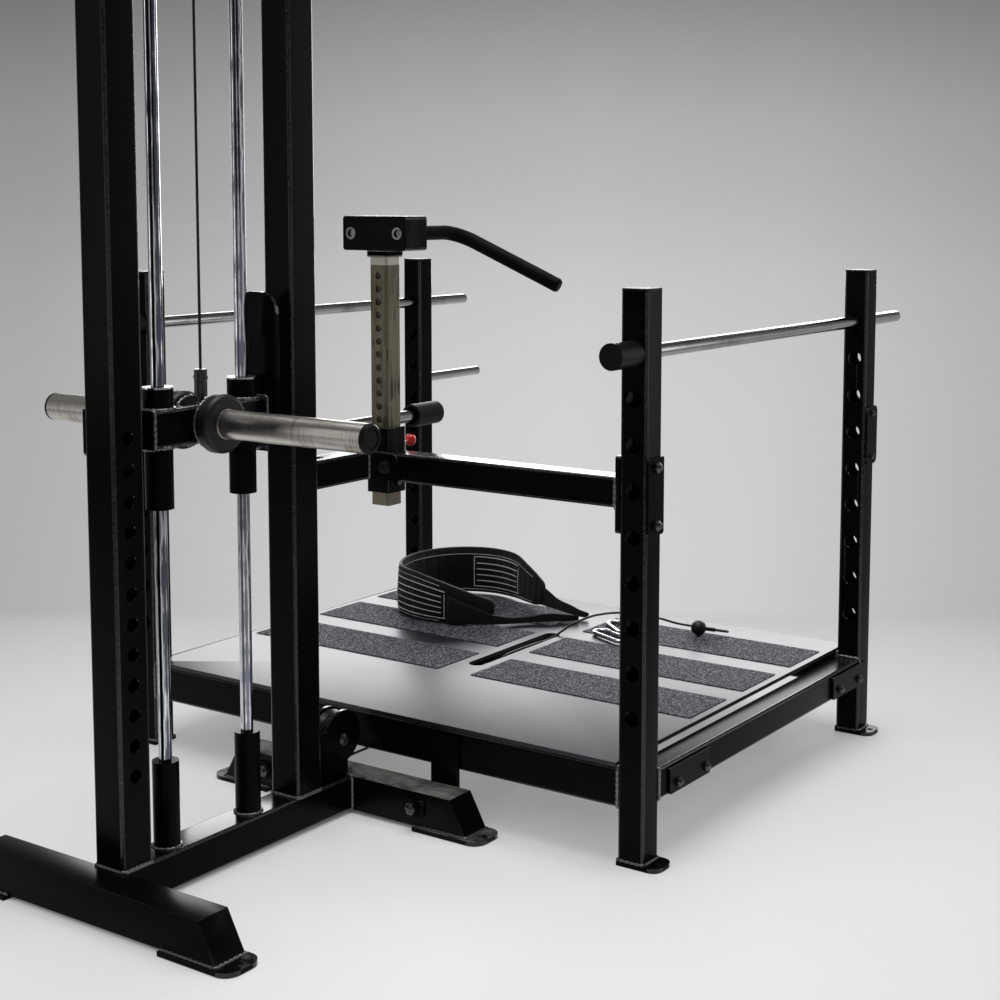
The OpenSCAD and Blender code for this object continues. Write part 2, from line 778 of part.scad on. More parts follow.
// Cross bar from the machine's middle to the right front post, with its post bracket
module support_crossbar() {
    bracket_t = 9;
    x0 = -36;
    color("#1b1b1c") {
        translate([x0, plat_y + support_w / 2, support_top - support_h / 2]) rotate([0, 90, 0])
            tube(support_h, support_w, post_in - bracket_t - x0, post_wall, true);
        translate([post_in - bracket_t, front_post_y, support_top - 30]) rotate([90, 0, 90])
            linear_extrude(bracket_t) rounded_rect(post_w, post_plate_h[0], 5);
    }
}

// Square socket on the cross bar that the handle post slides in
module post_socket() {
    z0 = support_z0 - socket_down;
    h = support_h + socket_up + socket_down;
    color("#1b1b1c") translate([0, mast_y, z0]) difference() {
        translate([-socket_w / 2, -socket_w / 2, 0]) cube([socket_w, socket_w, h]);
        translate([-socket_in / 2, -socket_in / 2, -1]) cube([socket_in, socket_in, h + 2]);
        translate([0, 0, pull_z - z0]) rod_y(0, 0, socket_w, 0, pull_pin_d + 2 * run_gap);
    }
}

// Threaded barrel that guides the height pin
module pin_barrel() {
    y0 = mast_y + socket_w / 2;
    color("#8d8f92") translate([0, y0, pull_z]) rotate([-90, 0, 0]) difference() {
        union() {
            cylinder(d = 26, h = 7, $fn = 6);
            translate([0, 0, 7]) cylinder(d = 18, h = barrel_len - 7);
        }
        translate([0, 0, -1]) cylinder(d = pull_pin_d + 2 * run_gap, h = barrel_len + 2);
    }
}

// Height pin drawn back: its tip lies inside the socket's wall, its knob outside
module height_pin() {
    tip = pull_y0 + seat_gap;
    knob_y = mast_y + socket_w / 2 + barrel_len + pull_travel + pull_knob_d / 2 + 1;
    color("#b5121b") {
        rod_y(0, tip, knob_y, pull_z, pull_pin_d);
        translate([0, knob_y, pull_z]) rotate([-90, 0, 0]) rotate_extrude() intersection() {
            circle(d = pull_knob_d);
            translate([0, -pull_knob_d]) square(2 * pull_knob_d);
        }
    }
}

// Block on the rear upright with the bore that the latch bar slides in
module latch_bearing() {
    block_w = 33;
    color("#1b1b1c") difference() {
        translate([-tube_w / 2 - block_w, rear_y + 5, latch_z - 18]) cube([block_w, tube_w - 10, 36]);
        rod_y(latch_x, rear_y, rear_back, latch_z, latch_d + 2 * run_gap);
    }
}

module latch_bar() {
    color("#d8dade") rod_y(latch_x, latch_y0, latch_y1 + latch_grip_len * 0.75, latch_z, latch_d);
}

// Cup-shaped grip over the end of the latch bar
module latch_grip() {
    color("#202022") difference() {
        rod_y(latch_x, latch_y1, latch_y1 + latch_grip_len, latch_z, latch_grip_d);
        rod_y(latch_x, latch_y1 - 1, latch_y1 + 12, latch_z, latch_grip_d - 10);
        rod_y(latch_x, latch_y1, latch_y1 + latch_grip_len * 0.75, latch_z, latch_d + 2 * weld_gap);
    }
}

// A quarter of a cable bend round an axle along X, from angle a, turning towards +Y then +Z
module cable_bend(y, z, r, a) {
    translate([0, y, z]) rotate([a, 0, 0]) rotate([90, 0, 90]) rotate_extrude(angle = 90)
        translate([r, 0]) circle(d = cable_d);
}

// The cable where the machine holds it: over the top pulleys, down behind the rear
// upright, under the floor pulley and along the floor to the deck pulley
module cable_run() {
    r = tower_pulley_r;
    color("#5a5c60") {
        cable_bend(top_near_y, top_pulley_z, r, 90);
        rod_y(0, top_near_y, top_rear_y, top_pulley_z + r, cable_d);
        cable_bend(top_rear_y, top_pulley_z, r, 0);
        translate([0, drop_y, floor_pulley_z]) cylinder(d = cable_d, h = top_pulley_z - floor_pulley_z);
        cable_bend(floor_pulley_y, floor_pulley_z, r, 180);
        rod_y(0, floor_pulley_y, deck_axle_y, cable_low_z, cable_d);
        cable_bend(deck_axle_y, deck_pulley_z, deck_pulley_r, 270);
        translate([0, deck_axle_y + deck_pulley_r, deck_pulley_z])
            cylinder(d = cable_d, h = deck_top + tail_points[0][2] - deck_pulley_z);
    }
}

// The lifting run of the cable, which grows shorter as the carriage rises
module cable_lift() {
    color("#5a5c60") translate([0, lift_y, fitting_top + seat_gap])
        cylinder(d = cable_d, h = top_pulley_z - fitting_top - seat_gap);
}

// Tube swept along points, one ring of sides at each point
function unit(v) = v / norm(v);
function heading(p, i) = unit(p[min(i + 1, len(p) - 1)] - p[max(i - 1, 0)]);
function sweep_ring(c, t, r, sides) =
    let (a = unit(cross(t, abs(t[0]) < 0.9 ? [1, 0, 0] : [0, 1, 0])), b = cross(t, a))
    [for (k = [0 : sides - 1]) c + r * (cos(360 * k / sides) * a + sin(360 * k / sides) * b)];
module swept_tube(p, d, sides) {
    n = len(p);
    rings = [for (i = [0 : n - 1]) each sweep_ring(p[i], heading(p, i), d / 2, sides)];
    walls = [for (i = [0 : n - 2], k = [0 : sides - 1])
        let (a = i * sides + k, b = i * sides + (k + 1) % sides)
        each [[a, b, a + sides], [b, b + sides, a + sides]]];
    ends = [[for (k = [sides - 1 : -1 : 0]) k], [for (k = [0 : sides - 1]) (n - 1) * sides + k]];
    polyhedron(rings, concat(walls, ends));
}

module cable_tail() {
    color("#5a5c60") translate([0, plat_y, deck_top]) swept_tube(tail_points, cable_d, 8);
}

// Ball stop, crimped ferrule and eye on the cable's free end
module cable_end() {
    eye_r = 9;
    eye_d = 4;
    eye_len = 26;
    color("#2a2a2c") translate([ball_at[0], plat_y + ball_at[1], deck_top + ball_at[2]])
        rotate([0, eye_drop, eye_turn]) {
            sphere(d = ball_d);
            translate([ball_d / 2 - 1, 0, 0]) rotate([0, 90, 0]) cylinder(d = 9, h = 22);
            translate([ball_d / 2 + 20, 0, 0]) {
                for (s = [-1, 1]) translate([0, s * eye_r * 0.55, 0]) rotate([0, 90, 0])
                    cylinder(d = eye_d, h = eye_len);
                translate([eye_len, 0, 0]) rotate([0, 0, -90]) rotate_extrude(angle = 180)
                    translate([eye_r * 0.55, 0]) circle(d = eye_d);
            }
        }
}

// Padded belt standing on edge: one closed band that narrows into its two straps
module belt() {
    n = len(belt_route);
    mid = [for (p = belt_route) [p[0], p[1]]];
    side = [for (i = [0 : n - 1]) let (t = heading(mid, i)) [-t[1], t[0]]];
    strap = 5;
    half = [for (p = belt_route) (strap + (belt_t - strap) * min(1, p[3] / 90)) / 2];
    points = [for (i = [0 : n - 1]) let (p = belt_route[i], o = side[i] * half[i]) each [
        [mid[i][0] - o[0], mid[i][1] - o[1], p[2]], [mid[i][0] + o[0], mid[i][1] + o[1], p[2]],
        [mid[i][0] + o[0], mid[i][1] + o[1], p[3]], [mid[i][0] - o[0], mid[i][1] - o[1], p[3]]
    ]];
    walls = [for (i = [0 : n - 2], k = [0 : 3]) let (a = 4 * i + k, b = 4 * i + (k + 1) % 4)
        each [[a, a + 4, b], [b, a + 4, b + 4]]];
    ends = [[0, 1, 2, 3], [4 * n - 1, 4 * n - 2, 4 * n - 3, 4 * n - 4]];
    color("#1d1d1f") translate([0, plat_y, grip_top]) polyhedron(points, concat(walls, ends));
}

// Open body of a snap hook: a bent wire with a gap in its right side for the gate
module hook_body() {
    r = hook_wire_d / 2;
    end_r = hook_w / 2 - r;
    straight = hook_len - hook_w;
    translate([0, 0, r]) {
        translate([-end_r, 0, 0]) rotate([-90, 0, 0]) cylinder(r = r, h = straight);
        translate([end_r, 0, 0]) rotate([-90, 0, 0]) cylinder(r = r, h = gate_y0);
        translate([end_r, gate_y1, 0]) rotate([-90, 0, 0]) cylinder(r = r, h = straight - gate_y1);
        translate([0, straight, 0]) rotate_extrude(angle = 180) translate([end_r, 0]) circle(r);
        rotate([0, 0, 180]) rotate_extrude(angle = 180) translate([end_r, 0]) circle(r);
    }
}

// Gate of a snap hook: a round bar that swings inwards on the upright knuckle at its lower end
module hook_gate() {
    r = hook_wire_d * 0.38;
    knuckle_r = hook_wire_d * 0.43;
    y0 = gate_y0 + seat_gap + knuckle_r;
    translate([hook_w / 2 - hook_wire_d / 2, y0, hook_wire_d / 2]) {
        translate([0, 0, -knuckle_r]) cylinder(r = knuckle_r, h = 2 * knuckle_r);
        rotate([-90, 0, 0]) cylinder(r = r, h = gate_y1 - 0.8 - y0);
    }
}

module at_hook(k) {
    translate([hook_at[k][0], plat_y + hook_at[k][1], grip_top + seat_gap])
        rotate([0, 0, hook_at[k][2]]) translate([0, hook_w / 2, 0]) children();
}

module snap_hooks() {
    color("#c9ccd0") for (k = [0, 1]) at_hook(k) hook_body();
}

module hook_gate_near() {
    color("#b9bcc0") at_hook(0) hook_gate();
}

module hook_gate_far() {
    color("#b9bcc0") at_hook(1) hook_gate();
}

// Hollow beam across both guide rods, bored for the sleeves
module carriage_beam() {
    color("#1b1b1c") difference() {
        translate([0, beam_y1, carriage_z]) rotate([90, 0, 0])
            tube(carriage_w, carriage_h, beam_y1 - beam_y0, carriage_wall, true);
        for (y = [rod_near_y, rod_far_y]) translate([0, y, beam_under - 1])
            cylinder(d = sleeve_d + 2 * weld_gap, h = carriage_h + 2);
    }
}

module carriage_sleeves() {
    color("#202022") for (y = [rod_near_y, rod_far_y]) translate([0, y, 0]) difference() {
        union() {
            translate([0, 0, sleeve_low]) cylinder(d = sleeve_d, h = collar_top - sleeve_low);
            translate([0, 0, beam_over]) cylinder(d = collar_d, h = collar_h);
        }
        translate([0, 0, sleeve_low - 1]) cylinder(d = bush_d + 2 * weld_gap, h = collar_top - sleeve_low + 2);
    }
}

// Slide bushes at both ends of each sleeve, with a bright rim over the collar
module slide_bushes() {
    color("#c2c4c8") for (y = [rod_near_y, rod_far_y]) translate([0, y, 0]) {
        translate([0, 0, sleeve_low]) difference() {
            cylinder(d = bush_d, h = bush_len);
            translate([0, 0, -1]) cylinder(d = rod_d + 2 * run_gap, h = bush_len + 2);
        }
        translate([0, 0, collar_top - bush_len]) difference() {
            union() {
                cylinder(d = bush_d, h = bush_len);
                translate([0, 0, bush_len]) cylinder(d = collar_d - 1, h = bush_rim_h);
            }
            translate([0, 0, -1]) cylinder(d = rod_d + 2 * run_gap, h = bush_len + bush_rim_h + 2);
        }
    }
}

// Tall plate on the carriage's far end, whose lower lug rests on the latch bar
module end_plate() {
    top = carriage_z + end_plate_up;
    foot = 30;
    r = end_plate_r;
    lug_x = latch_x - latch_d / 2;
    color("#1b1b1c") translate([0, beam_y1 + end_plate_t, 0]) rotate([90, 0, 0])
        linear_extrude(end_plate_t) difference() {
            union() {
                translate([-end_plate_w / 2, beam_under]) square([end_plate_w, top - r - beam_under]);
                translate([-end_plate_w / 2 + r, beam_under]) square([end_plate_w - 2 * r, top - beam_under]);
                for (s = [-1, 1]) translate([s * (end_plate_w / 2 - r), top - r]) circle(r);
                translate([lug_x, lug_z]) square([foot, beam_under + 25 - lug_z]);
            }
            translate([-13, top - 106]) square([6, 24]);
        }
}

// Ear that runs beside the near upright, its web closing the carriage beam's near end
module guide_ear() {
    ear_y0 = 2;
    color("#1b1b1c") {
        translate([ear_x - ear_t, beam_y0 - ear_t, beam_under]) cube([ear_t - ear_x + carriage_w / 2, ear_t, carriage_h]);
        translate([ear_x, beam_y0 - ear_t, beam_under - 4]) rotate([0, -90, 0])
            linear_extrude(ear_t) difference() {
                translate([0, ear_y0 - beam_y0 + ear_t]) square([76, beam_y0 - ear_t - ear_y0]);
                difference() {
                    translate([-1, ear_y0 - beam_y0 + ear_t - 1]) square([9, 9]);
                    translate([8, ear_y0 - beam_y0 + ear_t + 8]) circle(8);
                }
            }
        translate([ear_x - ear_t, tube_w / 2, pin_hole_top]) rotate([0, 0, 180]) dome_x(14, 5);
    }
}

// Tubular plate horns, each with a thicker root inside its bumper disc
module plate_horns() {
    color("#a9a49c") mirror_x() difference() {
        union() {
            rod_x(carriage_w / 2, horn_reach, lift_y, carriage_z, horn_d);
            rod_x(carriage_w / 2, carriage_w / 2 + flange_t + bumper_t, lift_y, carriage_z, horn_root_d);
        }
        rod_x(carriage_w / 2 + 8, horn_reach + 1, lift_y, carriage_z, horn_d - 2 * horn_wall);
    }
}

// Rubber disc with rounded rims on a steel flange, where loaded plates come to rest
module horn_bumpers() {
    r = bumper_d / 2;
    round_r = min(9, bumper_t / 3);
    bore = horn_root_d / 2 + weld_gap;
    x0 = carriage_w / 2;
    color("#1e1e1f") mirror_x() translate([x0, lift_y, carriage_z]) rotate([0, 90, 0]) {
        rotate_extrude() translate([bore, 0]) square([r * 0.82 - bore, flange_t]);
        translate([0, 0, flange_t]) rotate_extrude() {
            translate([bore, 0]) square([r - round_r - bore, bumper_t]);
            translate([bore, round_r]) square([r - bore, bumper_t - 2 * round_r]);
            for (z = [round_r, bumper_t - round_r]) translate([r - round_r, z]) circle(round_r);
        }
    }
}

// End plugs with a recessed ring, pressed into the horns
module horn_plugs() {
    d = horn_d;
    spigot = 14;
    color("#202022") mirror_x() translate([horn_reach, lift_y, carriage_z]) rotate([0, 90, 0])
        rotate_extrude() polygon([
            [0, -spigot], [d / 2 - horn_wall - weld_gap, -spigot], [d / 2 - horn_wall - weld_gap, 0],
            [d / 2, 0], [d / 2, plug_len - 3], [d / 2 - 3, plug_len], [d / 2 - 8, plug_len],
            [d / 2 - 8, plug_len - 3], [d / 2 - 10, plug_len - 3], [d / 2 - 10, plug_len - 1],
            [0, plug_len - 1]
        ]);
}

// Stud, clevis and cross pin that hold the cable's end over the carriage beam
module cable_fitting() {
    pin_z = fitting_top - 14;
    color("#303032") translate([0, lift_y, 0]) {
        translate([0, 0, beam_over]) cylinder(d = 12, h = fitting_low - beam_over);
        translate([0, 0, fitting_low]) cylinder(d = fitting_d, h = fitting_top - fitting_low);
        rod_x(-fitting_d / 2 - 3, fitting_d / 2 + 3, 0, pin_z, 7);
    }
}

// Drilled square post that carries the head block, set by the height pin
module handle_post() {
    first = pull_z;
    low = floor((first - mast_bottom - mast_hole_pitch / 2) / mast_hole_pitch);
    color("#8f877b") difference() {
        translate([0, mast_y, mast_bottom]) tube(mast_w, mast_w, mast_len, 4);
        for (k = [0 : mast_hole_count - 1])
            rod_y(0, mast_y - mast_w, mast_y + mast_w, first + (k - min(low, 3)) * mast_hole_pitch, mast_hole_d);
    }
}

// Head block with rounded edges on a short neck, bored for the handle
module head_block() {
    neck_w = mast_w + 6;
    y0 = mast_y - head_w / 2;
    color("#1f1f20") {
        translate([-neck_w / 2, mast_y - neck_w / 2, mast_top]) cube([neck_w, neck_w, neck_h]);
        difference() {
            translate([0, y0 + head_w, head_mid_z]) rotate([90, 0, 0])
                linear_extrude(head_w) rounded_rect(head_len, head_w, head_r);
            rod_y(handle_x, head_y1 - handle_socket_deep, head_y1 + 1, handle_z, handle_d + 2 * weld_gap);
            for (s = [-1, 1]) rod_y(s * handle_x, y0 - 1, y0 + 6, handle_z, 24);
        }
    }
}

// Ring-headed bolts in the head block's near face
module handle_bolts() {
    y0 = mast_y - head_w / 2;
    color("#b9bcc0") for (s = [-1, 1]) difference() {
        rod_y(s * handle_x, y0 - 1.5, y0 + 6, handle_z, 23);
        rod_y(s * handle_x, y0 - 3, y0 + 3, handle_z, 15);
    }
}

// Bent round handle: a straight stub towards the user, then a grip out and down.
// The straight lengths are a hair thinner than the bend, and reach 1 mm into it.
module handle() {
    bend_r = 55;
    back = bend_r * tan(handle_turn / 2);
    y0 = head_y1 - handle_socket_deep;
    bend_y = head_y1 + handle_stub - back;
    straight_d = handle_d - 0.2;
    tip = 4;
    grip = handle_grip - back;
    color("#232425") {
        rod_y(handle_x, y0, bend_y + 1, handle_z, straight_d);
        translate([handle_x, bend_y, handle_z]) rotate([0, handle_roll, 0])
            translate([bend_r, 0, 0]) rotate([0, 0, 180 - handle_turn]) {
                rotate_extrude(angle = handle_turn) translate([bend_r, 0]) circle(d = handle_d);
                translate([bend_r, 1, 0]) rotate([90, 0, 0]) {
                    cylinder(d = straight_d, h = grip + 1 - tip);
                    translate([0, 0, grip + 1 - tip]) cylinder(d1 = straight_d, d2 = handle_d - 6, h = tip);
                }
            }
    }
}

// Hand bar through both posts of one side, and the knob that stops against the front post
module hand_bar(s) {
    color("#d8dade") translate([s * post_x, plat_y - hand_knob_len * 0.6, bar_z]) rotate([-90, 0, 0]) {
        cylinder(d = hand_bar_d, h = hand_bar_len + hand_knob_len * 0.6 - 4);
        translate([0, 0, hand_bar_len + hand_knob_len * 0.6 - 4]) cylinder(d1 = hand_bar_d, d2 = hand_bar_d - 8, h = 4);
    }
}

module hand_knob(s) {
    y0 = plat_y - seat_gap - hand_knob_len;
    color("#202022") difference() {
        rod_y(s * post_x, y0, y0 + hand_knob_len, bar_z, hand_knob_d);
        rod_y(s * post_x, plat_y - hand_knob_len * 0.6, plat_y, bar_z, hand_bar_d + 2 * weld_gap);
    }
}

module right_hand_bar() {
    hand_bar(1);
}

module right_knob() {
    hand_knob(1);
}

module left_hand_bar() {
    hand_bar(-1);
}

module left_knob() {
    hand_knob(-1);
}

// Moves a piece from the tower's frame to the row's frame
module place() {
    translate([0, -origin_y, 0]) children();
}

place() near_upright();
place() rear_upright();
place() top_beam();
place() base_beam();
place() near_foot();
place() rear_foot();
place() guide_rods();
place() rod_stops();
place() pulley_plates();
place() pulley_axles();
place() link_plates();
place() front_posts();
place() rear_posts();
place() post_caps();
place() cross_beams();
place() side_beams();
place() deck_stringers();
place() deck_plate();
place() grip_strips();
place() bolt_plates();
place() dome_bolts();
place() hex_bolts();
place() storage_peg();
place() support_arm();
place() support_crossbar();
place() post_socket();
place() pin_barrel();
place() latch_bearing();
place() cable_run();
place() cable_lift();
place() cable_tail();
place() cable_end();
place() belt();
place() snap_hooks();
place() carriage_beam();
place() carriage_sleeves();
place() slide_bushes();
place() end_plate();
place() guide_ear();
place() plate_horns();
place() horn_bumpers();
place() horn_plugs();
place() cable_fitting();
place() handle_post();
place() head_block();
place() handle();
place() handle_bolts();
place() height_pin();
place() right_hand_bar();
place() right_knob();
place() left_hand_bar();
place() left_knob();
place() latch_bar();
place() latch_grip();
place() sheave_top_near();
place() sheave_top_rear();
place() sheave_floor();
place() sheave_deck();
place() hook_gate_near();
place() hook_gate_far();
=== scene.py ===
# %% [markdown]
# A belt squat machine: a cable tower with a plate-loaded carriage, and a low platform with
# posts, hand bars and a padded hip belt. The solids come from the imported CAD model. This
# lesson adds what CAD leaves out: paint, rubbed steel, weld beads, stitched cloth and a
# studio. Every object is in metres, in the same frame as the CAD model.

# %% Load the frame
import json
import math

import bmesh
import bpy
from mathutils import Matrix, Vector

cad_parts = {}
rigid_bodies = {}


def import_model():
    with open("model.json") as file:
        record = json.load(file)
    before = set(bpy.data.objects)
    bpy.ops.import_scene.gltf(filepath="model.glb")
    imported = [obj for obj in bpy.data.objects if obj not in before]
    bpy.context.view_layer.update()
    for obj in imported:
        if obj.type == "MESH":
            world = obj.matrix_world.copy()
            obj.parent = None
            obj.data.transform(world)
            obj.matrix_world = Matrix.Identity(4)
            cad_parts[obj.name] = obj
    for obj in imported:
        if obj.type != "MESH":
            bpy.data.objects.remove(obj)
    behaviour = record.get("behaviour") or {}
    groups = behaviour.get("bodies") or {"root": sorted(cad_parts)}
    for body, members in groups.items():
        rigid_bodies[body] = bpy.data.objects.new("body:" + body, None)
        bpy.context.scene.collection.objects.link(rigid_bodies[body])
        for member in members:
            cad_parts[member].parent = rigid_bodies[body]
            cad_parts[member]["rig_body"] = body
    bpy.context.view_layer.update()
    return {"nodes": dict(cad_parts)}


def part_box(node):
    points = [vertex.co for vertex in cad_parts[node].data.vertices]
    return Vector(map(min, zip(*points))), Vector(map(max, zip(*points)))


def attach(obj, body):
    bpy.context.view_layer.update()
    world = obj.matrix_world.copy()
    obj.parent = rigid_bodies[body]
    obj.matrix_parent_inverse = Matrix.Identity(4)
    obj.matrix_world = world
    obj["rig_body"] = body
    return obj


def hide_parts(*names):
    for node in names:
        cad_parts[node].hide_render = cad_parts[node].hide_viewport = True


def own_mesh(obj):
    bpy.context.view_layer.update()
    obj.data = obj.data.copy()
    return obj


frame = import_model()
nodes = frame["nodes"]

# %% [markdown]
# The camera comes first, because every later choice is judged through it. The photograph
# was taken from about chest height with a longish lens, and its frame was cut off centre.
# A small lens shift gives that framing without tilting the upright lines.

# %% Camera
def add_object(name, data):
    """Puts a new object with its data into the scene."""
    made = bpy.data.objects.new(name, data)
    bpy.context.scene.collection.objects.link(made)
    return made


camera_data = bpy.data.cameras.new("studio_camera")
camera = add_object("studio_camera", camera_data)
camera.location = (2.0442, -2.6986, 1.1516)
camera.rotation_euler = (math.radians(84.05), 0.0, math.radians(34.95))
camera_data.sensor_width = 36.0
camera_data.lens = 61.16
camera_data.shift_x = -0.0038
camera_data.shift_y = -0.1232
camera_data.clip_start = 0.05
camera_data.clip_end = 100.0
bpy.context.scene.camera = camera
bpy.context.scene.view_settings.view_transform = "Standard"
print("camera at", tuple(round(x, 3) for x in camera.location))

# %% [markdown]
# The free end of the wire cable comes next. It rises out of the deck pulley, lies along the
# slot, climbs over the snap hooks in a low arc and ends at a black ball. The route repeats
# the CAD points, and a Catmull-Rom curve through them gives a smooth line of small steps.

# %% Cable route
TOWER_SHIFT = 0.88925  # from the tower's own origin to the middle of the machine
PLATFORM_Y = 0.644 - TOWER_SHIFT
DECK_TOP = 0.183
CABLE_RADIUS = 0.0025
TAIL_MM = [
    (0, 450, -46), (0, 450, -36), (0, 454, -22), (0, 464, -11), (0, 480, -6), (0, 516, -5),
    (0, 556, -5), (0, 596, -6), (2, 624, -7), (5, 645, -5), (10, 659, 0), (19, 673, 9),
    (32, 689, 21), (52, 708, 33), (75, 727, 42), (114, 752, 48), (158, 778, 45),
    (198, 799, 37), (232, 817, 27), (258.8, 830.7, 22.7),
]


def on_platform(x, y, z):
    """A point in metres from millimetres across, from the platform's front face, and over the deck."""
    return Vector((x / 1000, PLATFORM_Y + y / 1000, DECK_TOP + z / 1000))


def smooth_line(points, steps):
    """Catmull-Rom points through the given ones, with so many steps between two of them."""
    ends = [points[0] * 2 - points[1]] + list(points) + [points[-1] * 2 - points[-2]]
    line = []
    for i in range(1, len(ends) - 2):
        a, b, c, d = ends[i - 1:i + 3]
        for k in range(steps):
            t = k / steps
            line.append(0.5 * ((2 * b) + (c - a) * t + (2 * a - 5 * b + 4 * c - d) * t * t
                               + (3 * b - a - 3 * c + d) * t * t * t))
    line.append(points[-1].copy())
    return line


def line_length(line):
    return sum((b - a).length for a, b in zip(line, line[1:]))


tail_line = smooth_line([on_platform(*p) for p in TAIL_MM], 4)
print("loose cable:", round(line_length(tail_line), 4), "m, points:", len(tail_line))

# %% Cable piece
def add_curve(name, lines, radius, resolution, closed=False, swell=None):
    """A curve object with one poly spline for each line, and a round section.

    The bevel depth is 1, so each point's radius is that of the section itself."""
    data = bpy.data.curves.new(name, "CURVE")
    data.dimensions = "3D"
    data.bevel_depth = 1.0
    data.bevel_resolution = resolution
    data.use_fill_caps = True
    for line in lines:
        spline = data.splines.new("POLY")
        spline.points.add(len(line) - 1)
        spline.use_cyclic_u = closed
        for k, (point, co) in enumerate(zip(spline.points, line)):
            point.co = (co.x, co.y, co.z, 1.0)
            point.radius = radius if swell is None else radius * swell(k)
    return add_object(name, data)


loose_cable = add_curve("loose_cable", [tail_line], CABLE_RADIUS, resolution=4)
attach(loose_cable, "frame")
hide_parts("cable_tail")
print("loose cable replaces its CAD tube")

# %% [markdown]
# Materials are built from a few shared node groups. Each group puts out only masks, heights
# and values that change over a surface. The shader itself stays in the material. Metal, paint
# and plastic read Object coordinates, so a pattern keeps its scale from piece to piece. Cloth
# reads the piece's own UV map, and paint also reads an attribute of the piece for edges that
# are rubbed and carry a painted highlight.

# %% Node helpers
def new_group(name, inputs, outputs):
    """A shader node group with named sockets, given as (name, kind, start value)."""
    group = bpy.data.node_groups.new(name, "ShaderNodeTree")
    for label, kind, value in inputs:
        socket = group.interface.new_socket(name=label, in_out="INPUT", socket_type=kind)
        if value is not None:
            socket.default_value = value
    for label, kind in outputs:
        group.interface.new_socket(name=label, in_out="OUTPUT", socket_type=kind)
    start = group.nodes.new("NodeGroupInput")
    end = group.nodes.new("NodeGroupOutput")
    return group, start, end


def add_node(tree, kind, links=(), **settings):
    """Adds a node, sets its properties or input values, and links its inputs."""
    made = tree.nodes.new(kind)
    for key, value in settings.items():
        if hasattr(made, key):
            setattr(made, key, value)
        else:
            made.inputs[key.replace("_", " ")].default_value = value
    for socket, source in links:
        tree.links.new(source, made.inputs[socket])
    return made


def number(tree, operation, first, second):
    """A Math node on sockets or plain numbers."""
    made = tree.nodes.new("ShaderNodeMath")
    made.operation = operation
    for k, value in enumerate((first, second)):
        if isinstance(value, (int, float)):
            made.inputs[k].default_value = value
        else:
            tree.links.new(value, made.inputs[k])
    return made.outputs[0]


FLOAT = "NodeSocketFloat"
VECTOR = "NodeSocketVector"
print("node helpers ready")

# %% Wear and highlight group
def make_wear_and_highlight():
    """Mask of rubbed paint and a painted edge highlight: the piece's own edge attribute, broken up by
    noise.
    """
    group, start, end = new_group(
        "wear_and_highlight",
        [("Vector", VECTOR, None), ("Amount", FLOAT, 0.5), ("Scale", FLOAT, 60.0)],
        [("Mask", FLOAT)])
    edge = add_node(group, "ShaderNodeAttribute", attribute_name="edge")
    noise = add_node(group, "ShaderNodeTexNoise", [("Vector", start.outputs["Vector"]),
                                                   ("Scale", start.outputs["Scale"])], Detail=5.0)
    broken = add_node(group, "ShaderNodeMapRange", [("Value", noise.outputs["Fac"])],
                      From_Min=0.38, From_Max=0.66)
    both = number(group, "MULTIPLY", edge.outputs["Fac"], broken.outputs["Result"])
    group.links.new(number(group, "MULTIPLY", both, start.outputs["Amount"]), end.inputs["Mask"])
    return group


# This mask paints edges paler: partly rubbed paint, partly a painted highlight.
WEAR_AND_HIGHLIGHT = make_wear_and_highlight()
print("group:", WEAR_AND_HIGHLIGHT.name)

# %% Grain group
def make_grain():
    """Fine bumps of two sizes, as a height, and a slow cloud that varies gloss and colour."""
    group, start, end = new_group(
        "grain",
        [("Vector", VECTOR, None), ("Fine Scale", FLOAT, 900.0), ("Cloud Scale", FLOAT, 6.0)],
        [("Height", FLOAT), ("Cloud", FLOAT)])
    fine = add_node(group, "ShaderNodeTexNoise", [("Vector", start.outputs["Vector"]),
                                                  ("Scale", start.outputs["Fine Scale"])], Detail=3.0)
    cloud = add_node(group, "ShaderNodeTexNoise", [("Vector", start.outputs["Vector"]),
                                                   ("Scale", start.outputs["Cloud Scale"])], Detail=6.0)
    group.links.new(fine.outputs["Fac"], end.inputs["Height"])
    group.links.new(cloud.outputs["Fac"], end.inputs["Cloud"])
    return group


GRAIN = make_grain()
print("group:", GRAIN.name)

# %% Brush group
def make_brush():
    """Long thin scratches along one axis, from noise that is stretched along it."""
    group, start, end = new_group(
        "brush_lines",
        [("Vector", VECTOR, None), ("Stretch", VECTOR, (4.0, 600.0, 600.0))],
        [("Lines", FLOAT), ("Rub", FLOAT)])
    stretched = add_node(group, "ShaderNodeVectorMath", [(0, start.outputs["Vector"]),
                                                         (1, start.outputs["Stretch"])],
                         operation="MULTIPLY")
    lines = add_node(group, "ShaderNodeTexNoise", [("Vector", stretched.outputs[0])],
                     Scale=1.0, Detail=4.0)
    rub = add_node(group, "ShaderNodeTexNoise", [("Vector", start.outputs["Vector"])],
                   Scale=14.0, Detail=7.0)
    group.links.new(lines.outputs["Fac"], end.inputs["Lines"])
    group.links.new(rub.outputs["Fac"], end.inputs["Rub"])
    return group


BRUSH = make_brush()
print("group:", BRUSH.name)

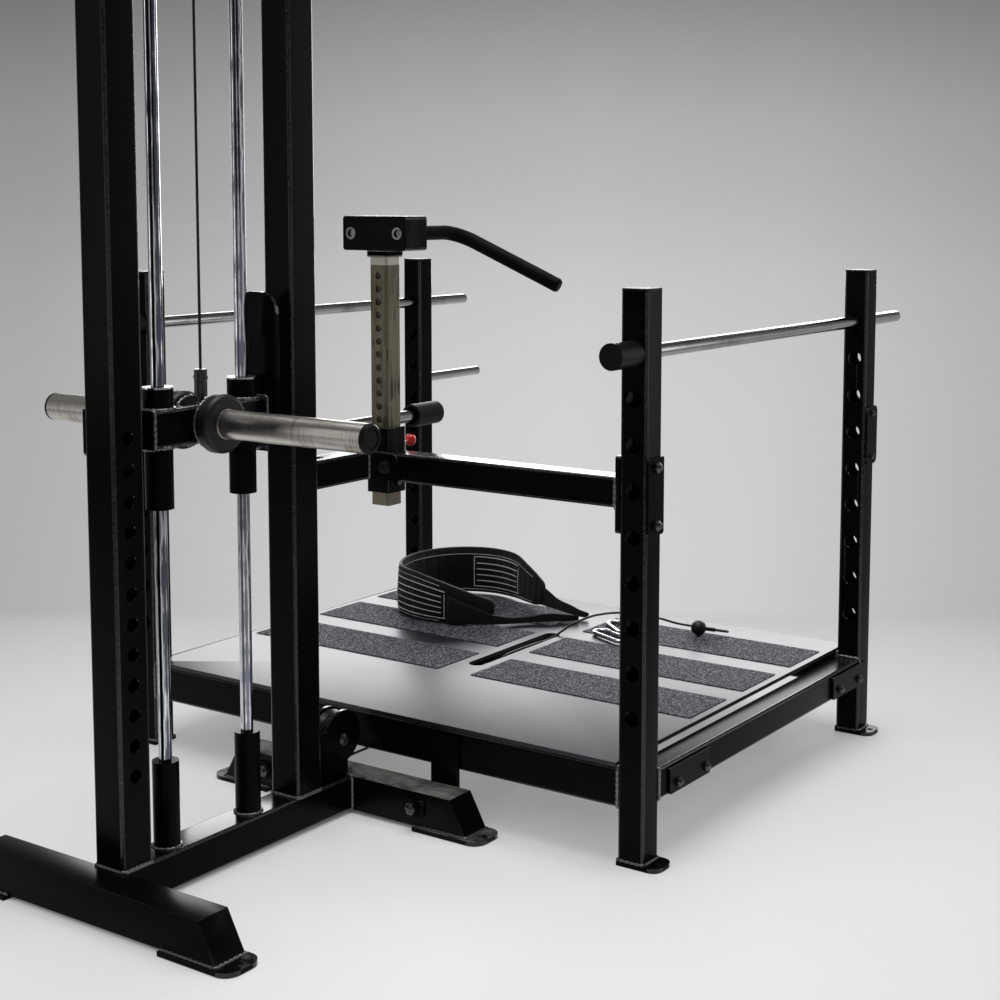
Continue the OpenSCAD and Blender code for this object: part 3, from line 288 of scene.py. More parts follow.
# %% Weave group
def make_weave():
    """Over-and-under threads of a cloth from two crossed waves on the piece's own UV map."""
    group, start, end = new_group(
        "weave",
        [("Vector", VECTOR, None), ("Threads", FLOAT, 200.0)],
        [("Height", FLOAT), ("Shade", FLOAT)])
    sized = add_node(group, "ShaderNodeVectorMath", [(0, start.outputs["Vector"]),
                                                     ("Scale", start.outputs["Threads"])],
                     operation="SCALE")
    across = add_node(group, "ShaderNodeTexWave", [("Vector", sized.outputs[0])],
                      bands_direction="X", Scale=1.0)
    along = add_node(group, "ShaderNodeTexWave", [("Vector", sized.outputs[0])],
                     bands_direction="Y", Scale=1.0)
    woven = number(group, "MULTIPLY", across.outputs["Fac"], along.outputs["Fac"])
    shade = add_node(group, "ShaderNodeTexNoise", [("Vector", start.outputs["Vector"])], Scale=30.0)
    group.links.new(woven, end.inputs["Height"])
    group.links.new(shade.outputs["Fac"], end.inputs["Shade"])
    return group


WEAVE = make_weave()
print("group:", WEAVE.name)

# %% [markdown]
# Each finish is a function of its own. A small starter makes the material, its shader and
# the Object coordinates, and the finish adds its own nodes. Values that are the same all
# over a surface are set straight on the shader.

# %% Material starter
def start_material(name, base, roughness, **settings):
    """A new material, with shader inputs that are the same all over, and its coordinates."""
    material = bpy.data.materials.new(name)
    material.use_nodes = True
    tree = material.node_tree
    shader = tree.nodes["Principled BSDF"]
    settings.update(Base_Color=(*base, 1.0), Roughness=roughness)
    for key, value in settings.items():
        shader.inputs[key.replace("_", " ")].default_value = value
    place = tree.nodes.new("ShaderNodeTexCoord")
    return material, tree, shader, place.outputs["Object"]


def use_group(tree, group, vector, **values):
    """A shared group at work on a vector."""
    return add_node(tree, "ShaderNodeGroup", [("Vector", vector)], node_tree=group, **values)


def ramp(tree, value, stops):
    """A colour ramp with the given (place, colour) stops."""
    made = add_node(tree, "ShaderNodeValToRGB", [("Fac", value)])
    elements = made.color_ramp.elements
    while len(elements) > 1:
        elements.remove(elements[-1])
    elements[0].position, elements[0].color = stops[0][0], (*stops[0][1], 1.0)
    for place, color in stops[1:]:
        added = elements.new(place)
        added.color = (*color, 1.0)
    return made.outputs["Color"]


def mix_color(tree, factor, color, other):
    """A linked colour that gives way to a fixed one as the factor rises."""
    made = add_node(tree, "ShaderNodeMix", [("Factor", factor), ("A", color)], data_type="RGBA")
    made.inputs["B"].default_value = (*other, 1.0)
    return made.outputs["Result"]


def bump(tree, shader, height, strength, distance):
    """Turns a height into the shader's normal."""
    made = add_node(tree, "ShaderNodeBump", [("Height", height)], Strength=strength, Distance=distance)
    tree.links.new(made.outputs["Normal"], shader.inputs["Normal"])


def vary(tree, value, low, high, socket):
    """Maps a 0 to 1 value to a range and links it to a shader socket."""
    made = add_node(tree, "ShaderNodeMapRange", [("Value", value)], To_Min=low, To_Max=high)
    tree.links.new(made.outputs["Result"], socket)


print("material starter ready")

# %% Powder coat
FACES_UP = 0.9  # upward part of the normal from which a face counts as a top
RIM_COAT = 0.85
WEAR_HIGHLIGHT_AMOUNT, WEAR_HIGHLIGHT_SCALE = 0.28, 190.0
DUST = (0.22, 0.212, 0.195)
# The edge colour, here and in each coat below, is rubbed paint made paler still as a painted highlight.
BLACK, RUBBED_AND_HIGHLIGHT = (0.0019, 0.0019, 0.0020), (0.10, 0.10, 0.105)


def make_powder_coat(name, base, edge, rough, fine, strength, gloss, scuff=0.0, shine=0.0):
    """Baked paint with a fine orange peel, slow changes of gloss, and edges rubbed paler with a painted
    highlight.

    Shine adds a clear coat to the tops, and scuff covers them with rubbed-in dust."""
    material, tree, shader, place = start_material(name, base, rough[0], Specular_IOR_Level=gloss,
                                                   Coat_Roughness=0.14)
    grain = use_group(tree, GRAIN, place, Fine_Scale=fine, Cloud_Scale=3.0)
    wear_highlight = use_group(tree, WEAR_AND_HIGHLIGHT, place, Amount=WEAR_HIGHLIGHT_AMOUNT, Scale=WEAR_HIGHLIGHT_SCALE)
    paler = tuple(1.25 * c + 0.001 for c in base)
    cloud = ramp(tree, grain.outputs["Cloud"], [(0.3, base), (0.75, paler)])
    # Edges take the edge colour: rubbed paint with a painted highlight.
    color, gloss_mask = mix_color(tree, wear_highlight.outputs["Mask"], cloud, edge), grain.outputs["Cloud"]
    normal = add_node(tree, "ShaderNodeNewGeometry").outputs["Normal"]
    up = add_node(tree, "ShaderNodeSeparateXYZ", [("Vector", normal)]).outputs["Z"]
    top = number(tree, "GREATER_THAN", up, FACES_UP)
    rims = add_node(tree, "ShaderNodeAttribute", attribute_name="edge").outputs["Fac"]
    rim_shine = number(tree, "MULTIPLY", rims, RIM_COAT)
    shiny = number(tree, "MAXIMUM", rim_shine, number(tree, "MULTIPLY", top, shine))
    polish = ramp(tree, grain.outputs["Cloud"], [(0.2, (1.0,) * 3), (0.8, (0.75,) * 3)])
    tree.links.new(number(tree, "MULTIPLY", shiny, polish), shader.inputs["Coat Weight"])
    if scuff > 0:
        rubs = use_group(tree, BRUSH, place, Stretch=(40.0, 260.0, 60.0))
        both = number(tree, "MULTIPLY", rubs.outputs["Lines"], rubs.outputs["Rub"])
        dust = add_node(tree, "ShaderNodeMapRange", [("Value", both)], From_Min=0.12, From_Max=0.30)
        worn = number(tree, "MULTIPLY", number(tree, "MULTIPLY", dust.outputs["Result"], top), scuff)
        color = mix_color(tree, worn, color, DUST)
        gloss_mask = number(tree, "MAXIMUM", gloss_mask, number(tree, "MULTIPLY", top, 1.8))
    tree.links.new(color, shader.inputs["Base Color"])
    vary(tree, gloss_mask, rough[0], rough[1], shader.inputs["Roughness"])
    bump(tree, shader, grain.outputs["Height"], strength, 0.0005)
    return material


BLACK_COAT = make_powder_coat("black_coat", BLACK, RUBBED_AND_HIGHLIGHT, (0.22, 0.29), 1100, 0.05, 0.04)
GLOSS_COAT = make_powder_coat("gloss_coat", BLACK, RUBBED_AND_HIGHLIGHT, (0.2, 0.26), 1100, 0.05, 0.04, shine=0.75)
WORN_COAT = make_powder_coat("worn_coat", (0.0014, 0.0014, 0.0015), (0.09, 0.088, 0.08),
                             (0.24, 0.31), 1100, 0.06, 0.09, scuff=0.9)
DECK_COAT = make_powder_coat("deck_coat", (0.0070, 0.0082, 0.0108), (0.05, 0.05, 0.055),
                             (0.33, 0.41), 900, 0.02, 0.5)
WELD_COAT = make_powder_coat("weld_coat", (0.12, 0.12, 0.125), (0.2, 0.2, 0.21), (0.1, 0.18), 500, 0.2, 1.0)
deck_shader = DECK_COAT.node_tree.nodes["Principled BSDF"]
deck_shader.inputs["Specular Tint"].default_value = (0.90, 0.95, 1.0, 1.0)
weld_shader = WELD_COAT.node_tree.nodes["Principled BSDF"]
weld_shader.inputs["Metallic"].default_value = 0.5
print("paints:", *(m.name for m in (BLACK_COAT, GLOSS_COAT, WORN_COAT, DECK_COAT, WELD_COAT)))

# %% Bare metals
MARK_STOPS = (0.38, 0.52, 0.62)  # where the three colours lie on the marks
UNRUBBED = (0.62, 0.60, 0.52)
POST_RUBBED_TO = 1.0285


def make_metal(name, colors, rough, stretch, strength, bright_above=None, rub=0.55):
    """Bare metal with brush lines along a direction, and rub marks that change its colour.

    Rub is the share of the soft marks. A negative share sharpens the lines into stark stripes, which on the
    rods are a painted reflection."""
    material, tree, shader, place = start_material(name, colors[0], rough[0], Metallic=1.0)
    brush = use_group(tree, BRUSH, place, Stretch=stretch)
    marks = number(tree, "ADD", number(tree, "MULTIPLY", brush.outputs["Rub"], rub),
                   number(tree, "MULTIPLY", brush.outputs["Lines"], 1.0 - rub))
    color = ramp(tree, marks, list(zip(MARK_STOPS, colors)))
    if bright_above is not None:
        height = add_node(tree, "ShaderNodeSeparateXYZ", [("Vector", place)]).outputs["Z"]
        over = number(tree, "GREATER_THAN", height, bright_above)
        color = mix_color(tree, over, color, UNRUBBED)
    tree.links.new(color, shader.inputs["Base Color"])
    vary(tree, brush.outputs["Rub"], rough[0], rough[1], shader.inputs["Roughness"])
    bump(tree, shader, brush.outputs["Lines"], strength, 0.0003)
    return material


# The rods' colour has sharp dark and bright stripes along each rod: a painted reflection of a dark room.
ROD_CHROME_PAINTED_REFLECTION = make_metal("rod_chrome_painted_reflection", [(0.09, 0.10, 0.12), (0.86, 0.88, 0.92), (0.20, 0.21, 0.24)],
                        (0.05, 0.14), (130.0, 130.0, 0.04), 0.05, rub=-0.7)
BAR_CHROME = make_metal("bar_chrome", [(0.40, 0.40, 0.41), (0.50, 0.50, 0.51), (0.30, 0.29, 0.28)],
                        (0.08, 0.22), (600.0, 8.0, 600.0), 0.08)
HORN_STEEL = make_metal("horn_steel", [(0.50, 0.46, 0.41), (0.68, 0.65, 0.61), (0.29, 0.25, 0.21)],
                        (0.22, 0.42), (700.0, 6.0, 6.0), 0.35)
POST_STEEL = make_metal("post_steel", [(0.12, 0.098, 0.066), (0.24, 0.215, 0.16), (0.055, 0.045, 0.034)],
                        (0.38, 0.6), (300.0, 300.0, 5.0), 0.3, bright_above=POST_RUBBED_TO)
RING_STEEL = make_metal("ring_steel", [(0.10, 0.10, 0.105), (0.2, 0.2, 0.21), (0.05, 0.05, 0.052)],
                        (0.2, 0.32), (300.0, 300.0, 300.0), 0.15)
BRIGHT_STEEL = make_metal("bright_steel", [(0.62, 0.63, 0.65), (0.74, 0.75, 0.77), (0.45, 0.45, 0.47)],
                          (0.14, 0.34), (300.0, 300.0, 300.0), 0.15)
DARK_BOLT = make_metal("dark_bolt", [(0.06, 0.06, 0.063), (0.12, 0.12, 0.125), (0.04, 0.04, 0.042)],
                       (0.28, 0.45), (300.0, 300.0, 300.0), 0.2)
print("metals made")

# %% Plastics and rubber
def make_moulded(name, base, rough, fine, strength, gloss=0.1):
    """Moulded plastic or rubber with a fine grain and a slightly uneven gloss."""
    material, tree, shader, place = start_material(name, base, rough[0], Specular_IOR_Level=gloss)
    grain = use_group(tree, GRAIN, place, Fine_Scale=fine, Cloud_Scale=18.0)
    paler = tuple(1.5 * c + 0.001 for c in base)
    color = ramp(tree, grain.outputs["Cloud"], [(0.3, base), (0.8, paler)])
    tree.links.new(color, shader.inputs["Base Color"])
    vary(tree, grain.outputs["Cloud"], rough[0], rough[1], shader.inputs["Roughness"])
    bump(tree, shader, grain.outputs["Height"], strength, 0.0005)
    return material


RUBBER = make_moulded("rubber", (0.0055, 0.0055, 0.0060), (0.36, 0.5), 700, 0.25, 0.35)
PLASTIC = make_moulded("black_plastic", (0.0035, 0.0035, 0.0037), (0.32, 0.48), 1200, 0.2, 0.15)
NYLON = make_moulded("wheel_nylon", (0.007, 0.007, 0.0075), (0.24, 0.36), 500, 0.1, 0.3)
RED_PLASTIC = make_moulded("red_plastic", (0.42, 0.008, 0.012), (0.12, 0.2), 300, 0.04, 0.4)
GRIP_COAT = make_moulded("handle_coat", (0.0045, 0.0045, 0.005), (0.4, 0.52), 1500, 0.25, 0.03)
CABLE_COAT = make_moulded("cable_coat", (0.010, 0.010, 0.011), (0.22, 0.4), 1800, 0.3, 0.3)
print("plastics made")

# %% Anti-slip sheet
def make_grip_sheet():
    """Coarse mineral grains in a dark binder: small cells, each with its own grey, and deep bumps."""
    material, tree, shader, place = start_material("grip_sheet", (0.05, 0.052, 0.056), 0.8,
                                                   Specular_IOR_Level=0.15)
    cells = add_node(tree, "ShaderNodeTexVoronoi", [("Vector", place)], Scale=430.0)
    speck = add_node(tree, "ShaderNodeSeparateColor", [("Color", cells.outputs["Color"])])
    color = ramp(tree, speck.outputs["Red"], [(0.0, (0.004, 0.0042, 0.005)), (0.5, (0.014, 0.015, 0.018)),
                                              (0.78, (0.06, 0.066, 0.08)), (1.0, (0.26, 0.28, 0.32))])
    tree.links.new(color, shader.inputs["Base Color"])
    vary(tree, speck.outputs["Green"], 0.55, 0.9, shader.inputs["Roughness"])
    bump(tree, shader, cells.outputs["Distance"], 0.8, 0.0012)
    return material


GRIP_SHEET = make_grip_sheet()
print("material:", GRIP_SHEET.name)

# %% Belt cloths
CLOTH_ROUGH = 0.85
RIB_PITCH = 0.0075


def make_cloth(name, base, light, threads, strength, folds, ribs=None):
    """Woven cloth on the piece's UV map, creased across, and ribbed between two places along it."""
    material, tree, shader, _ = start_material(name, base, CLOTH_ROUGH, Specular_IOR_Level=0.2,
                                               Sheen_Weight=0.08, Sheen_Roughness=0.45)
    uv = add_node(tree, "ShaderNodeUVMap")
    weave = use_group(tree, WEAVE, uv.outputs["UV"], Threads=threads)
    color = ramp(tree, weave.outputs["Height"], [(0.0, base), (0.7, light)])
    tree.links.new(color, shader.inputs["Base Color"])
    vary(tree, weave.outputs["Shade"], CLOTH_ROUGH - 0.12, CLOTH_ROUGH + 0.08, shader.inputs["Roughness"])
    drape = add_node(tree, "ShaderNodeMapping", [("Vector", uv.outputs["UV"])], Scale=(75.0, 6.0, 1.0))
    creases = add_node(tree, "ShaderNodeTexNoise", [("Vector", drape.outputs["Vector"])], Scale=1.0)
    height = creases.outputs["Fac"]
    if ribs is not None:
        along = add_node(tree, "ShaderNodeSeparateXYZ", [("Vector", uv.outputs["UV"])]).outputs["X"]
        wave = number(tree, "SINE", number(tree, "MULTIPLY", along, 2 * math.pi / RIB_PITCH), 0.0)
        inside = number(tree, "MULTIPLY", number(tree, "GREATER_THAN", along, ribs[0]),
                        number(tree, "LESS_THAN", along, ribs[1]))
        ribbed = number(tree, "MULTIPLY", number(tree, "MULTIPLY", wave, inside), 0.3)
        height = number(tree, "ADD", height, ribbed)
    woven = add_node(tree, "ShaderNodeBump", [("Height", weave.outputs["Height"])], Strength=strength,
                     Distance=0.0006)
    creased = add_node(tree, "ShaderNodeBump", [("Height", height), ("Normal", woven.outputs["Normal"])],
                       Strength=folds, Distance=0.006)
    tree.links.new(creased.outputs["Normal"], shader.inputs["Normal"])
    return material


BELT_CLOTH = make_cloth("belt_cloth", (0.0015, 0.0018, 0.0023), (0.005, 0.0058, 0.007), 900.0, 0.5,
                        folds=0.8, ribs=(1.20, 1.40))
WEBBING = make_cloth("belt_webbing", (0.003, 0.0034, 0.0038), (0.013, 0.014, 0.0155), 500.0, 0.7, folds=0.3)
BINDING = make_moulded("binding_tape", (0.014, 0.015, 0.016), (0.45, 0.6), 1600, 0.5, 0.3)
THREAD = make_moulded("white_thread", (0.55, 0.55, 0.54), (0.6, 0.8), 2500, 0.4)
print("cloths made")

# %% [markdown]
# The CAD nodes arrive as loose triangles. Round bars can keep them, because only their
# material matters. Steelwork catches light along its edges, so its nodes are copied,
# merged, and given small bevels. The copy then stands for the node.

# %% Dressing helpers
SMOOTH_BELOW = math.radians(32.0)
BEVEL_ABOVE = math.radians(40)
LONG_EDGE = 0.012
SLIM_FACE = 0.004  # a face narrower than this takes an edge's wear and painted highlight


def finish_mesh(piece, bm, material):
    """Writes a bmesh to its object, smooth but with its sharp edges kept."""
    bm.to_mesh(piece.data)
    bm.free()
    piece.data.materials.clear()
    piece.data.materials.append(material)
    for polygon in piece.data.polygons:
        polygon.use_smooth = True
    piece.data.set_sharp_from_angle(angle=SMOOTH_BELOW)


def dress(node, material, edge=0.0012):
    """Copies a CAD node, merges it, bevels its long sharp edges and stands it in for the node."""
    data = nodes[node].data.copy()
    piece = add_object(node + "_dressed", data)
    bm = bmesh.new()
    bm.from_mesh(data)
    bmesh.ops.remove_doubles(bm, verts=bm.verts, dist=1e-5)
    bmesh.ops.dissolve_limit(bm, angle_limit=math.radians(0.5), verts=bm.verts, edges=bm.edges,
                             delimit={"NORMAL"})
    sharp = [e for e in bm.edges if len(e.link_faces) == 2 and e.calc_length() > LONG_EDGE
             and e.calc_face_angle_signed(0) > BEVEL_ABOVE]
    bmesh.ops.bevel(bm, geom=sharp, offset=edge, offset_type="OFFSET", segments=3, profile=0.5,
                    affect="EDGES", clamp_overlap=True, material=-1)
    slim = [f.calc_area() * 2 < SLIM_FACE * f.calc_perimeter() for f in bm.faces]
    finish_mesh(piece, bm, material)
    # Slim faces are marked for the paler edge colour: rubbed paint and a painted highlight.
    rubbed = piece.data.attributes.new("edge", "FLOAT", "FACE")
    rubbed.data.foreach_set("value", [float(x) for x in slim])
    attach(piece, nodes[node]["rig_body"])
    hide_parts(node)
    return piece


def paint(node, material):
    nodes[node].data.materials.clear()
    nodes[node].data.materials.append(material)


print("dressing helpers ready")

# %% Painted steelwork
STEELWORK = ["near_upright", "rear_upright", "top_beam", "base_beam", "near_foot", "rear_foot",
             "pulley_plates", "link_plates", "front_posts", "rear_posts", "cross_beams", "side_beams",
             "deck_stringers", "bolt_plates", "support_arm", "support_crossbar", "post_socket",
             "latch_bearing", "carriage_beam", "end_plate", "guide_ear", "head_block"]
COATS = {"rear_foot": WORN_COAT, "base_beam": GLOSS_COAT, "support_crossbar": GLOSS_COAT,
         "carriage_beam": GLOSS_COAT}
for name in STEELWORK:
    made = dress(name, COATS.get(name, BLACK_COAT))
dress("deck_plate", DECK_COAT, edge=0.0015)
dress("handle_post", POST_STEEL, edge=0.001)
print("dressed:", len(STEELWORK) + 2, "nodes")

# %% Other finishes
FINISHES = {
    "guide_rods": ROD_CHROME_PAINTED_REFLECTION, "storage_peg": BAR_CHROME, "latch_bar": BAR_CHROME,
    "right_hand_bar": BAR_CHROME, "left_hand_bar": BAR_CHROME, "plate_horns": HORN_STEEL,
    "slide_bushes": BRIGHT_STEEL, "handle_bolts": RING_STEEL, "snap_hooks": BRIGHT_STEEL,
    "hook_gate_near": BRIGHT_STEEL,
    "hook_gate_far": BRIGHT_STEEL, "pin_barrel": BRIGHT_STEEL, "pulley_axles": DARK_BOLT,
    "dome_bolts": DARK_BOLT, "hex_bolts": DARK_BOLT, "cable_fitting": DARK_BOLT, "post_caps": PLASTIC,
    "horn_plugs": PLASTIC, "right_knob": PLASTIC, "left_knob": PLASTIC, "latch_grip": PLASTIC,
    "sheave_top_near": NYLON, "sheave_top_rear": NYLON, "sheave_floor": NYLON, "sheave_deck": NYLON,
    "horn_bumpers": RUBBER, "cable_end": RUBBER, "grip_strips": GRIP_SHEET, "height_pin": RED_PLASTIC,
    "cable_run": CABLE_COAT, "cable_lift": CABLE_COAT, "carriage_sleeves": BLACK_COAT,
    "rod_stops": BLACK_COAT, "handle": GRIP_COAT,
}
for name, material in FINISHES.items():
    paint(name, material)
print("painted:", len(FINISHES), "nodes")

# %% [markdown]
# The belt is a padded band that stands on its edge in an open loop and narrows into two
# straps. A grid is bent along the loop, and Solidify gives it a thickness that a vertex
# group thins towards the rims and the straps. Binding tape runs round the rims, and the
# stitching is rows of short raised threads.

# %% Belt route
BELT_MM = [
    (-12, 790, 1, 16), (-58, 752, 1, 22), (-112, 694, 0.5, 38), (-172, 636, 0.5, 64),
    (-245, 598, 0.5, 92), (-325, 592, 0.5, 110), (-400, 622, 0.5, 113), (-446, 684, 0.5, 113),
    (-462, 754, 0.5, 113), (-448, 830, 0.5, 113), (-402, 886, 0.5, 113), (-332, 908, 0.5, 113),
    (-262, 894, 2, 110), (-206, 862, 6, 96), (-150, 838, 8, 74), (-92, 826, 6, 46),
    (-40, 822, 2, 24), (-4, 820, 1, 16),
]
STRIP_MM = 1.5  # the belt stands on the grip strips
HEM_MM, RIM_MM = 0.6, 1.0  # kept free below and above for the tape
BELT_TALL = 0.11
PUFFED_FROM = 0.09  # a belt as tall as this has its full thickness and lean
low_line = smooth_line([on_platform(x, y, STRIP_MM + z0 + HEM_MM) for x, y, z0, z1 in BELT_MM], 10)
high_line = smooth_line([on_platform(x, y, STRIP_MM + z1 - RIM_MM) for x, y, z0, z1 in BELT_MM], 10)
belt_length = line_length(low_line)
print("belt:", round(belt_length, 3), "m along its lower edge")


def belt_point(t, v, out=0.0):
    """A point on the belt: t along it and v up it, both 0 to 1, and out along its outer normal."""
    place = min(max(t, 0.0), 1.0) * (len(low_line) - 1)
    k = min(int(place), len(low_line) - 2)
    part = place - k
    low = low_line[k].lerp(low_line[k + 1], part)
    high = high_line[k].lerp(high_line[k + 1], part)
    along = (low_line[k + 1] - low_line[k]).normalized()
    normal = Vector((-along.y, along.x, 0.0)).normalized()
    tall = (high - low).length
    lean = 0.004 * math.sin(6.0 * t + 3.0 * v) * min(1.0, tall / PUFFED_FROM) * (v - 0.15)
    return low.lerp(high, v) + normal * (out + lean)


# %% Belt bands
def ease(low, high, value):
    """0 below a range, 1 above it, and a smooth step between."""
    part = min(max((value - low) / (high - low), 0.0), 1.0)
    return part * part * (3 - 2 * part)


PAD_START, PAD_END = 0.158, 0.838
FULL_FROM, FULL_TO = 0.21, 0.80  # the stretch where the pad has its full height
FRONT_STRAP_END = 0.235


def pad_edges(t):
    """Lower and upper edge of the pad as shares of the belt's height, with rounded ends."""
    low = 0.42 * (1 - ease(PAD_START, FULL_FROM, t)) + 0.10 * ease(FULL_TO, PAD_END, t)
    high = 1.0 - 0.06 * ease(FULL_TO, PAD_END, t)
    near_end = min(t - PAD_START, PAD_END - t) / 0.009
    if near_end < 1:
        pinch = 1 - math.sqrt(max(0.0, 1 - (1 - max(near_end, 0.0)) ** 2))
        low, high = low + 0.8 * pinch * (high - low) / 2, high - 0.8 * pinch * (high - low) / 2
    return low, high


FRONT_EDGE = [(0.0, 1.0), (0.06, 1.0), (0.07, 0.87), (0.104, 0.48), (0.129, 0.37), (0.156, 0.43),
              (0.178, 0.56), (0.2, 0.66), (FRONT_STRAP_END, 0.74)]
BACK_EDGE = [(FULL_TO, 0.84), (0.85, 0.80), (0.88, 0.74), (0.94, 0.95), (1.0, 1.0)]


def edge_at(table, t):
    """The upper edge of a strap, eased between the places of its table."""
    for (t0, v0), (t1, v1) in zip(table, table[1:]):
        if t <= t1:
            return v0 + (v1 - v0) * ease(t0, t1, t) if t > t0 else v0
    return table[-1][1]


def front_strap(t, v):
    """The strap over the outside of the pad's front end, down to the hooks."""
    tall = edge_at(FRONT_EDGE, t)
    return belt_point(t, 0.03 + v * (tall - 0.03), 0.0075 * ease(0.10, 0.165, t) + 0.0012)


def back_strap(t, v):
    """The strap that comes out of the pad's back end."""
    return belt_point(t, 0.04 + v * (edge_at(BACK_EDGE, t) - 0.04))


def add_band(name, columns, rows, t0, t1, at, material):
    """A sheet from a function of the place along and up the belt, with a UV map in metres."""
    bm = bmesh.new()
    uv_layer = bm.loops.layers.uv.new("UVMap")
    bmesh.ops.create_grid(bm, x_segments=columns, y_segments=rows, size=0.5, calc_uvs=True)
    spots = {vert.index: (t0 + (t1 - t0) * (vert.co.x + 0.5), vert.co.y + 0.5) for vert in bm.verts}
    for face in bm.faces:
        for loop in face.loops:
            t, v = spots[loop.vert.index]
            loop[uv_layer].uv = (t * belt_length, v * BELT_TALL)
    for vert in bm.verts:
        vert.co = at(*spots[vert.index])
    bmesh.ops.recalc_face_normals(bm, faces=bm.faces)
    piece = add_object(name, bpy.data.meshes.new(name))
    bm.to_mesh(piece.data)
    bm.free()
    for polygon in piece.data.polygons:
        polygon.use_smooth = True
    piece.data.materials.append(material)
    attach(piece, "frame")
    return piece, spots


def pad_point(t, v):
    """A point on the pad, with v counted between the pad's own edges."""
    low, high = pad_edges(t)
    return belt_point(t, low + (high - low) * v)


belt, grid_at = add_band("padded_belt", 150, 12, PAD_START, PAD_END, pad_point, BELT_CLOTH)
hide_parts("belt")
print("belt band:", len(belt.data.vertices), "points")

# %% Belt thickness
HALF_PAD = 0.00625
STRAP_THICK = 0.0032


def half_pad(t, v):
    """Half the pad's thickness: full in the middle, thin at the rims and the ends."""
    tall = (belt_point(t, 1.0) - belt_point(t, 0.0)).length
    wide = min(1.0, tall / PUFFED_FROM)
    crown = 1.0 - 0.55 * abs(2 * v - 1) ** 4
    channel = 1.0 - 0.12 * wide * (0.5 + 0.5 * math.cos(2 * math.pi * 5 * v))
    return HALF_PAD * (0.5 + 0.5 * wide) * crown * channel


def thicken(piece, spots, thickness, share):
    """Gives a sheet its thickness, of which each point takes the share for its place."""
    pad = piece.vertex_groups.new(name="pad")
    for index, (t, v) in spots.items():
        pad.add([index], share(t, v), "REPLACE")
    thick = piece.modifiers.new("thickness", "SOLIDIFY")
    thick.thickness = thickness
    thick.offset = 0.0
    thick.vertex_group = "pad"
    soft = piece.modifiers.new("soft", "SUBSURF")
    soft.levels = 1
    soft.render_levels = 1


thicken(belt, grid_at, 2 * HALF_PAD, lambda t, v: half_pad(t, v) / HALF_PAD)
for name, t0, t1, at in (("front_strap", 0.0, FRONT_STRAP_END, front_strap),
                         ("back_strap", FULL_TO, 1.0, back_strap)):
    strap, spots = add_band(name, 60, 6, t0, t1, at, WEBBING)
    thicken(strap, spots, STRAP_THICK, lambda t, v: 1.0)
print("belt thickness set")

# %% Belt binding
RIM_STEPS = 170


def pad_rim(v):
    """A line along the whole pad at a share of its height."""
    step = (PAD_END - PAD_START) / RIM_STEPS
    return [pad_point(PAD_START + step * k, v) for k in range(RIM_STEPS + 1)]


def add_trim(name, lines, radius, resolution, material):
    """Tape or thread on the belt, as one curve object."""
    trim = add_curve(name, lines, radius, resolution)
    trim.data.materials.append(material)
    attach(trim, "frame")


add_trim("belt_binding", [pad_rim(0.985), pad_rim(0.03)], 0.0034, 3, BINDING)
print("binding round both rims")

# %% Belt stitching
STITCH_STEP, THREAD_SHARE = 0.0052, 0.62
PANEL_LOW, PANEL_HIGH = 0.14, 0.80
THREAD_OUT = 0.0006
OUTER, INNER = 1, -1


def stitches(line):
    """Short threads along a line, one for each step."""
    made, left, start = [], 0.0, line[0]
    for a, b in zip(line, line[1:]):
        span = (b - a).length
        while span > 1e-6 and left + span >= STITCH_STEP:
            part = (STITCH_STEP - left) / span
            point = a.lerp(b, part)
            made.append([start, start.lerp(point, THREAD_SHARE)])
            a, start = point, point
            span = (b - a).length
            left = 0.0
        left += span
    return made


def stitched_row(t0, t1, v0, v1, side, count=60):
    """A stitched line over the belt's outer or inner face."""
    line = []
    for k in range(count + 1):
        t, v = t0 + (t1 - t0) * k / count, v0 + (v1 - v0) * k / count
        line.append(belt_point(t, v, side * (half_pad(t, v) + THREAD_OUT)))
    return stitches(line)


def stitched_panel(t0, t1, side):
    """A stitched border with four rows inside it."""
    rows = []
    for v in (PANEL_LOW, PANEL_HIGH):
        rows += stitched_row(t0, t1, v, v, side)
    for t in (t0, t1):
        rows += stitched_row(t, t, PANEL_LOW, PANEL_HIGH, side)
    for k in range(4):
        v = 0.27 + 0.13 * k
        rows += stitched_row(t0 + 0.006, t1 - 0.006, v, v, side)
    return rows


threads = stitched_panel(0.24, 0.36, OUTER) + stitched_panel(0.605, 0.73, INNER)
rim_threads = []
for v, side in ((0.07, OUTER), (0.91, OUTER), (0.07, INNER), (0.86, INNER)):
    rim_threads += stitched_row(0.25, FULL_TO, v, v, side, 200)
add_trim("panel_stitching", threads, 0.0011, 1, THREAD)
add_trim("belt_stitching", rim_threads, 0.0006, 0, THREAD)
print("stitches:", len(threads) + len(rim_threads))

# %% [markdown]
# Welded steel shows a rounded bead where two tubes meet. Each bead is a thick line round
# the joint whose radius swells and shrinks every few millimetres, like a row of overlapping
# drops. All the beads on one body are one curve object with many splines.

# %% Weld lines
TOWER = Vector((0.0, -TOWER_SHIFT, 0.0))
BEAD_STEP = 0.0035
BEAD_RADIUS = 0.0032
CORNER_CUT = 0.004
X, Y, Z = Vector((1, 0, 0)), Vector((0, 1, 0)), Vector((0, 0, 1))


def tower_point(x, y, z):
    """A point in metres from millimetres in the tower's own frame."""
    return Vector((x, y, z)) / 1000 + TOWER


def dense(corners):
    """Points every few millimetres round a closed loop of straight stretches."""
    line = []
    for a, b in zip(corners, corners[1:] + corners[:1]):
        count = max(1, round((b - a).length / BEAD_STEP))
        line += [a.lerp(b, k / count) for k in range(count)]
    return line


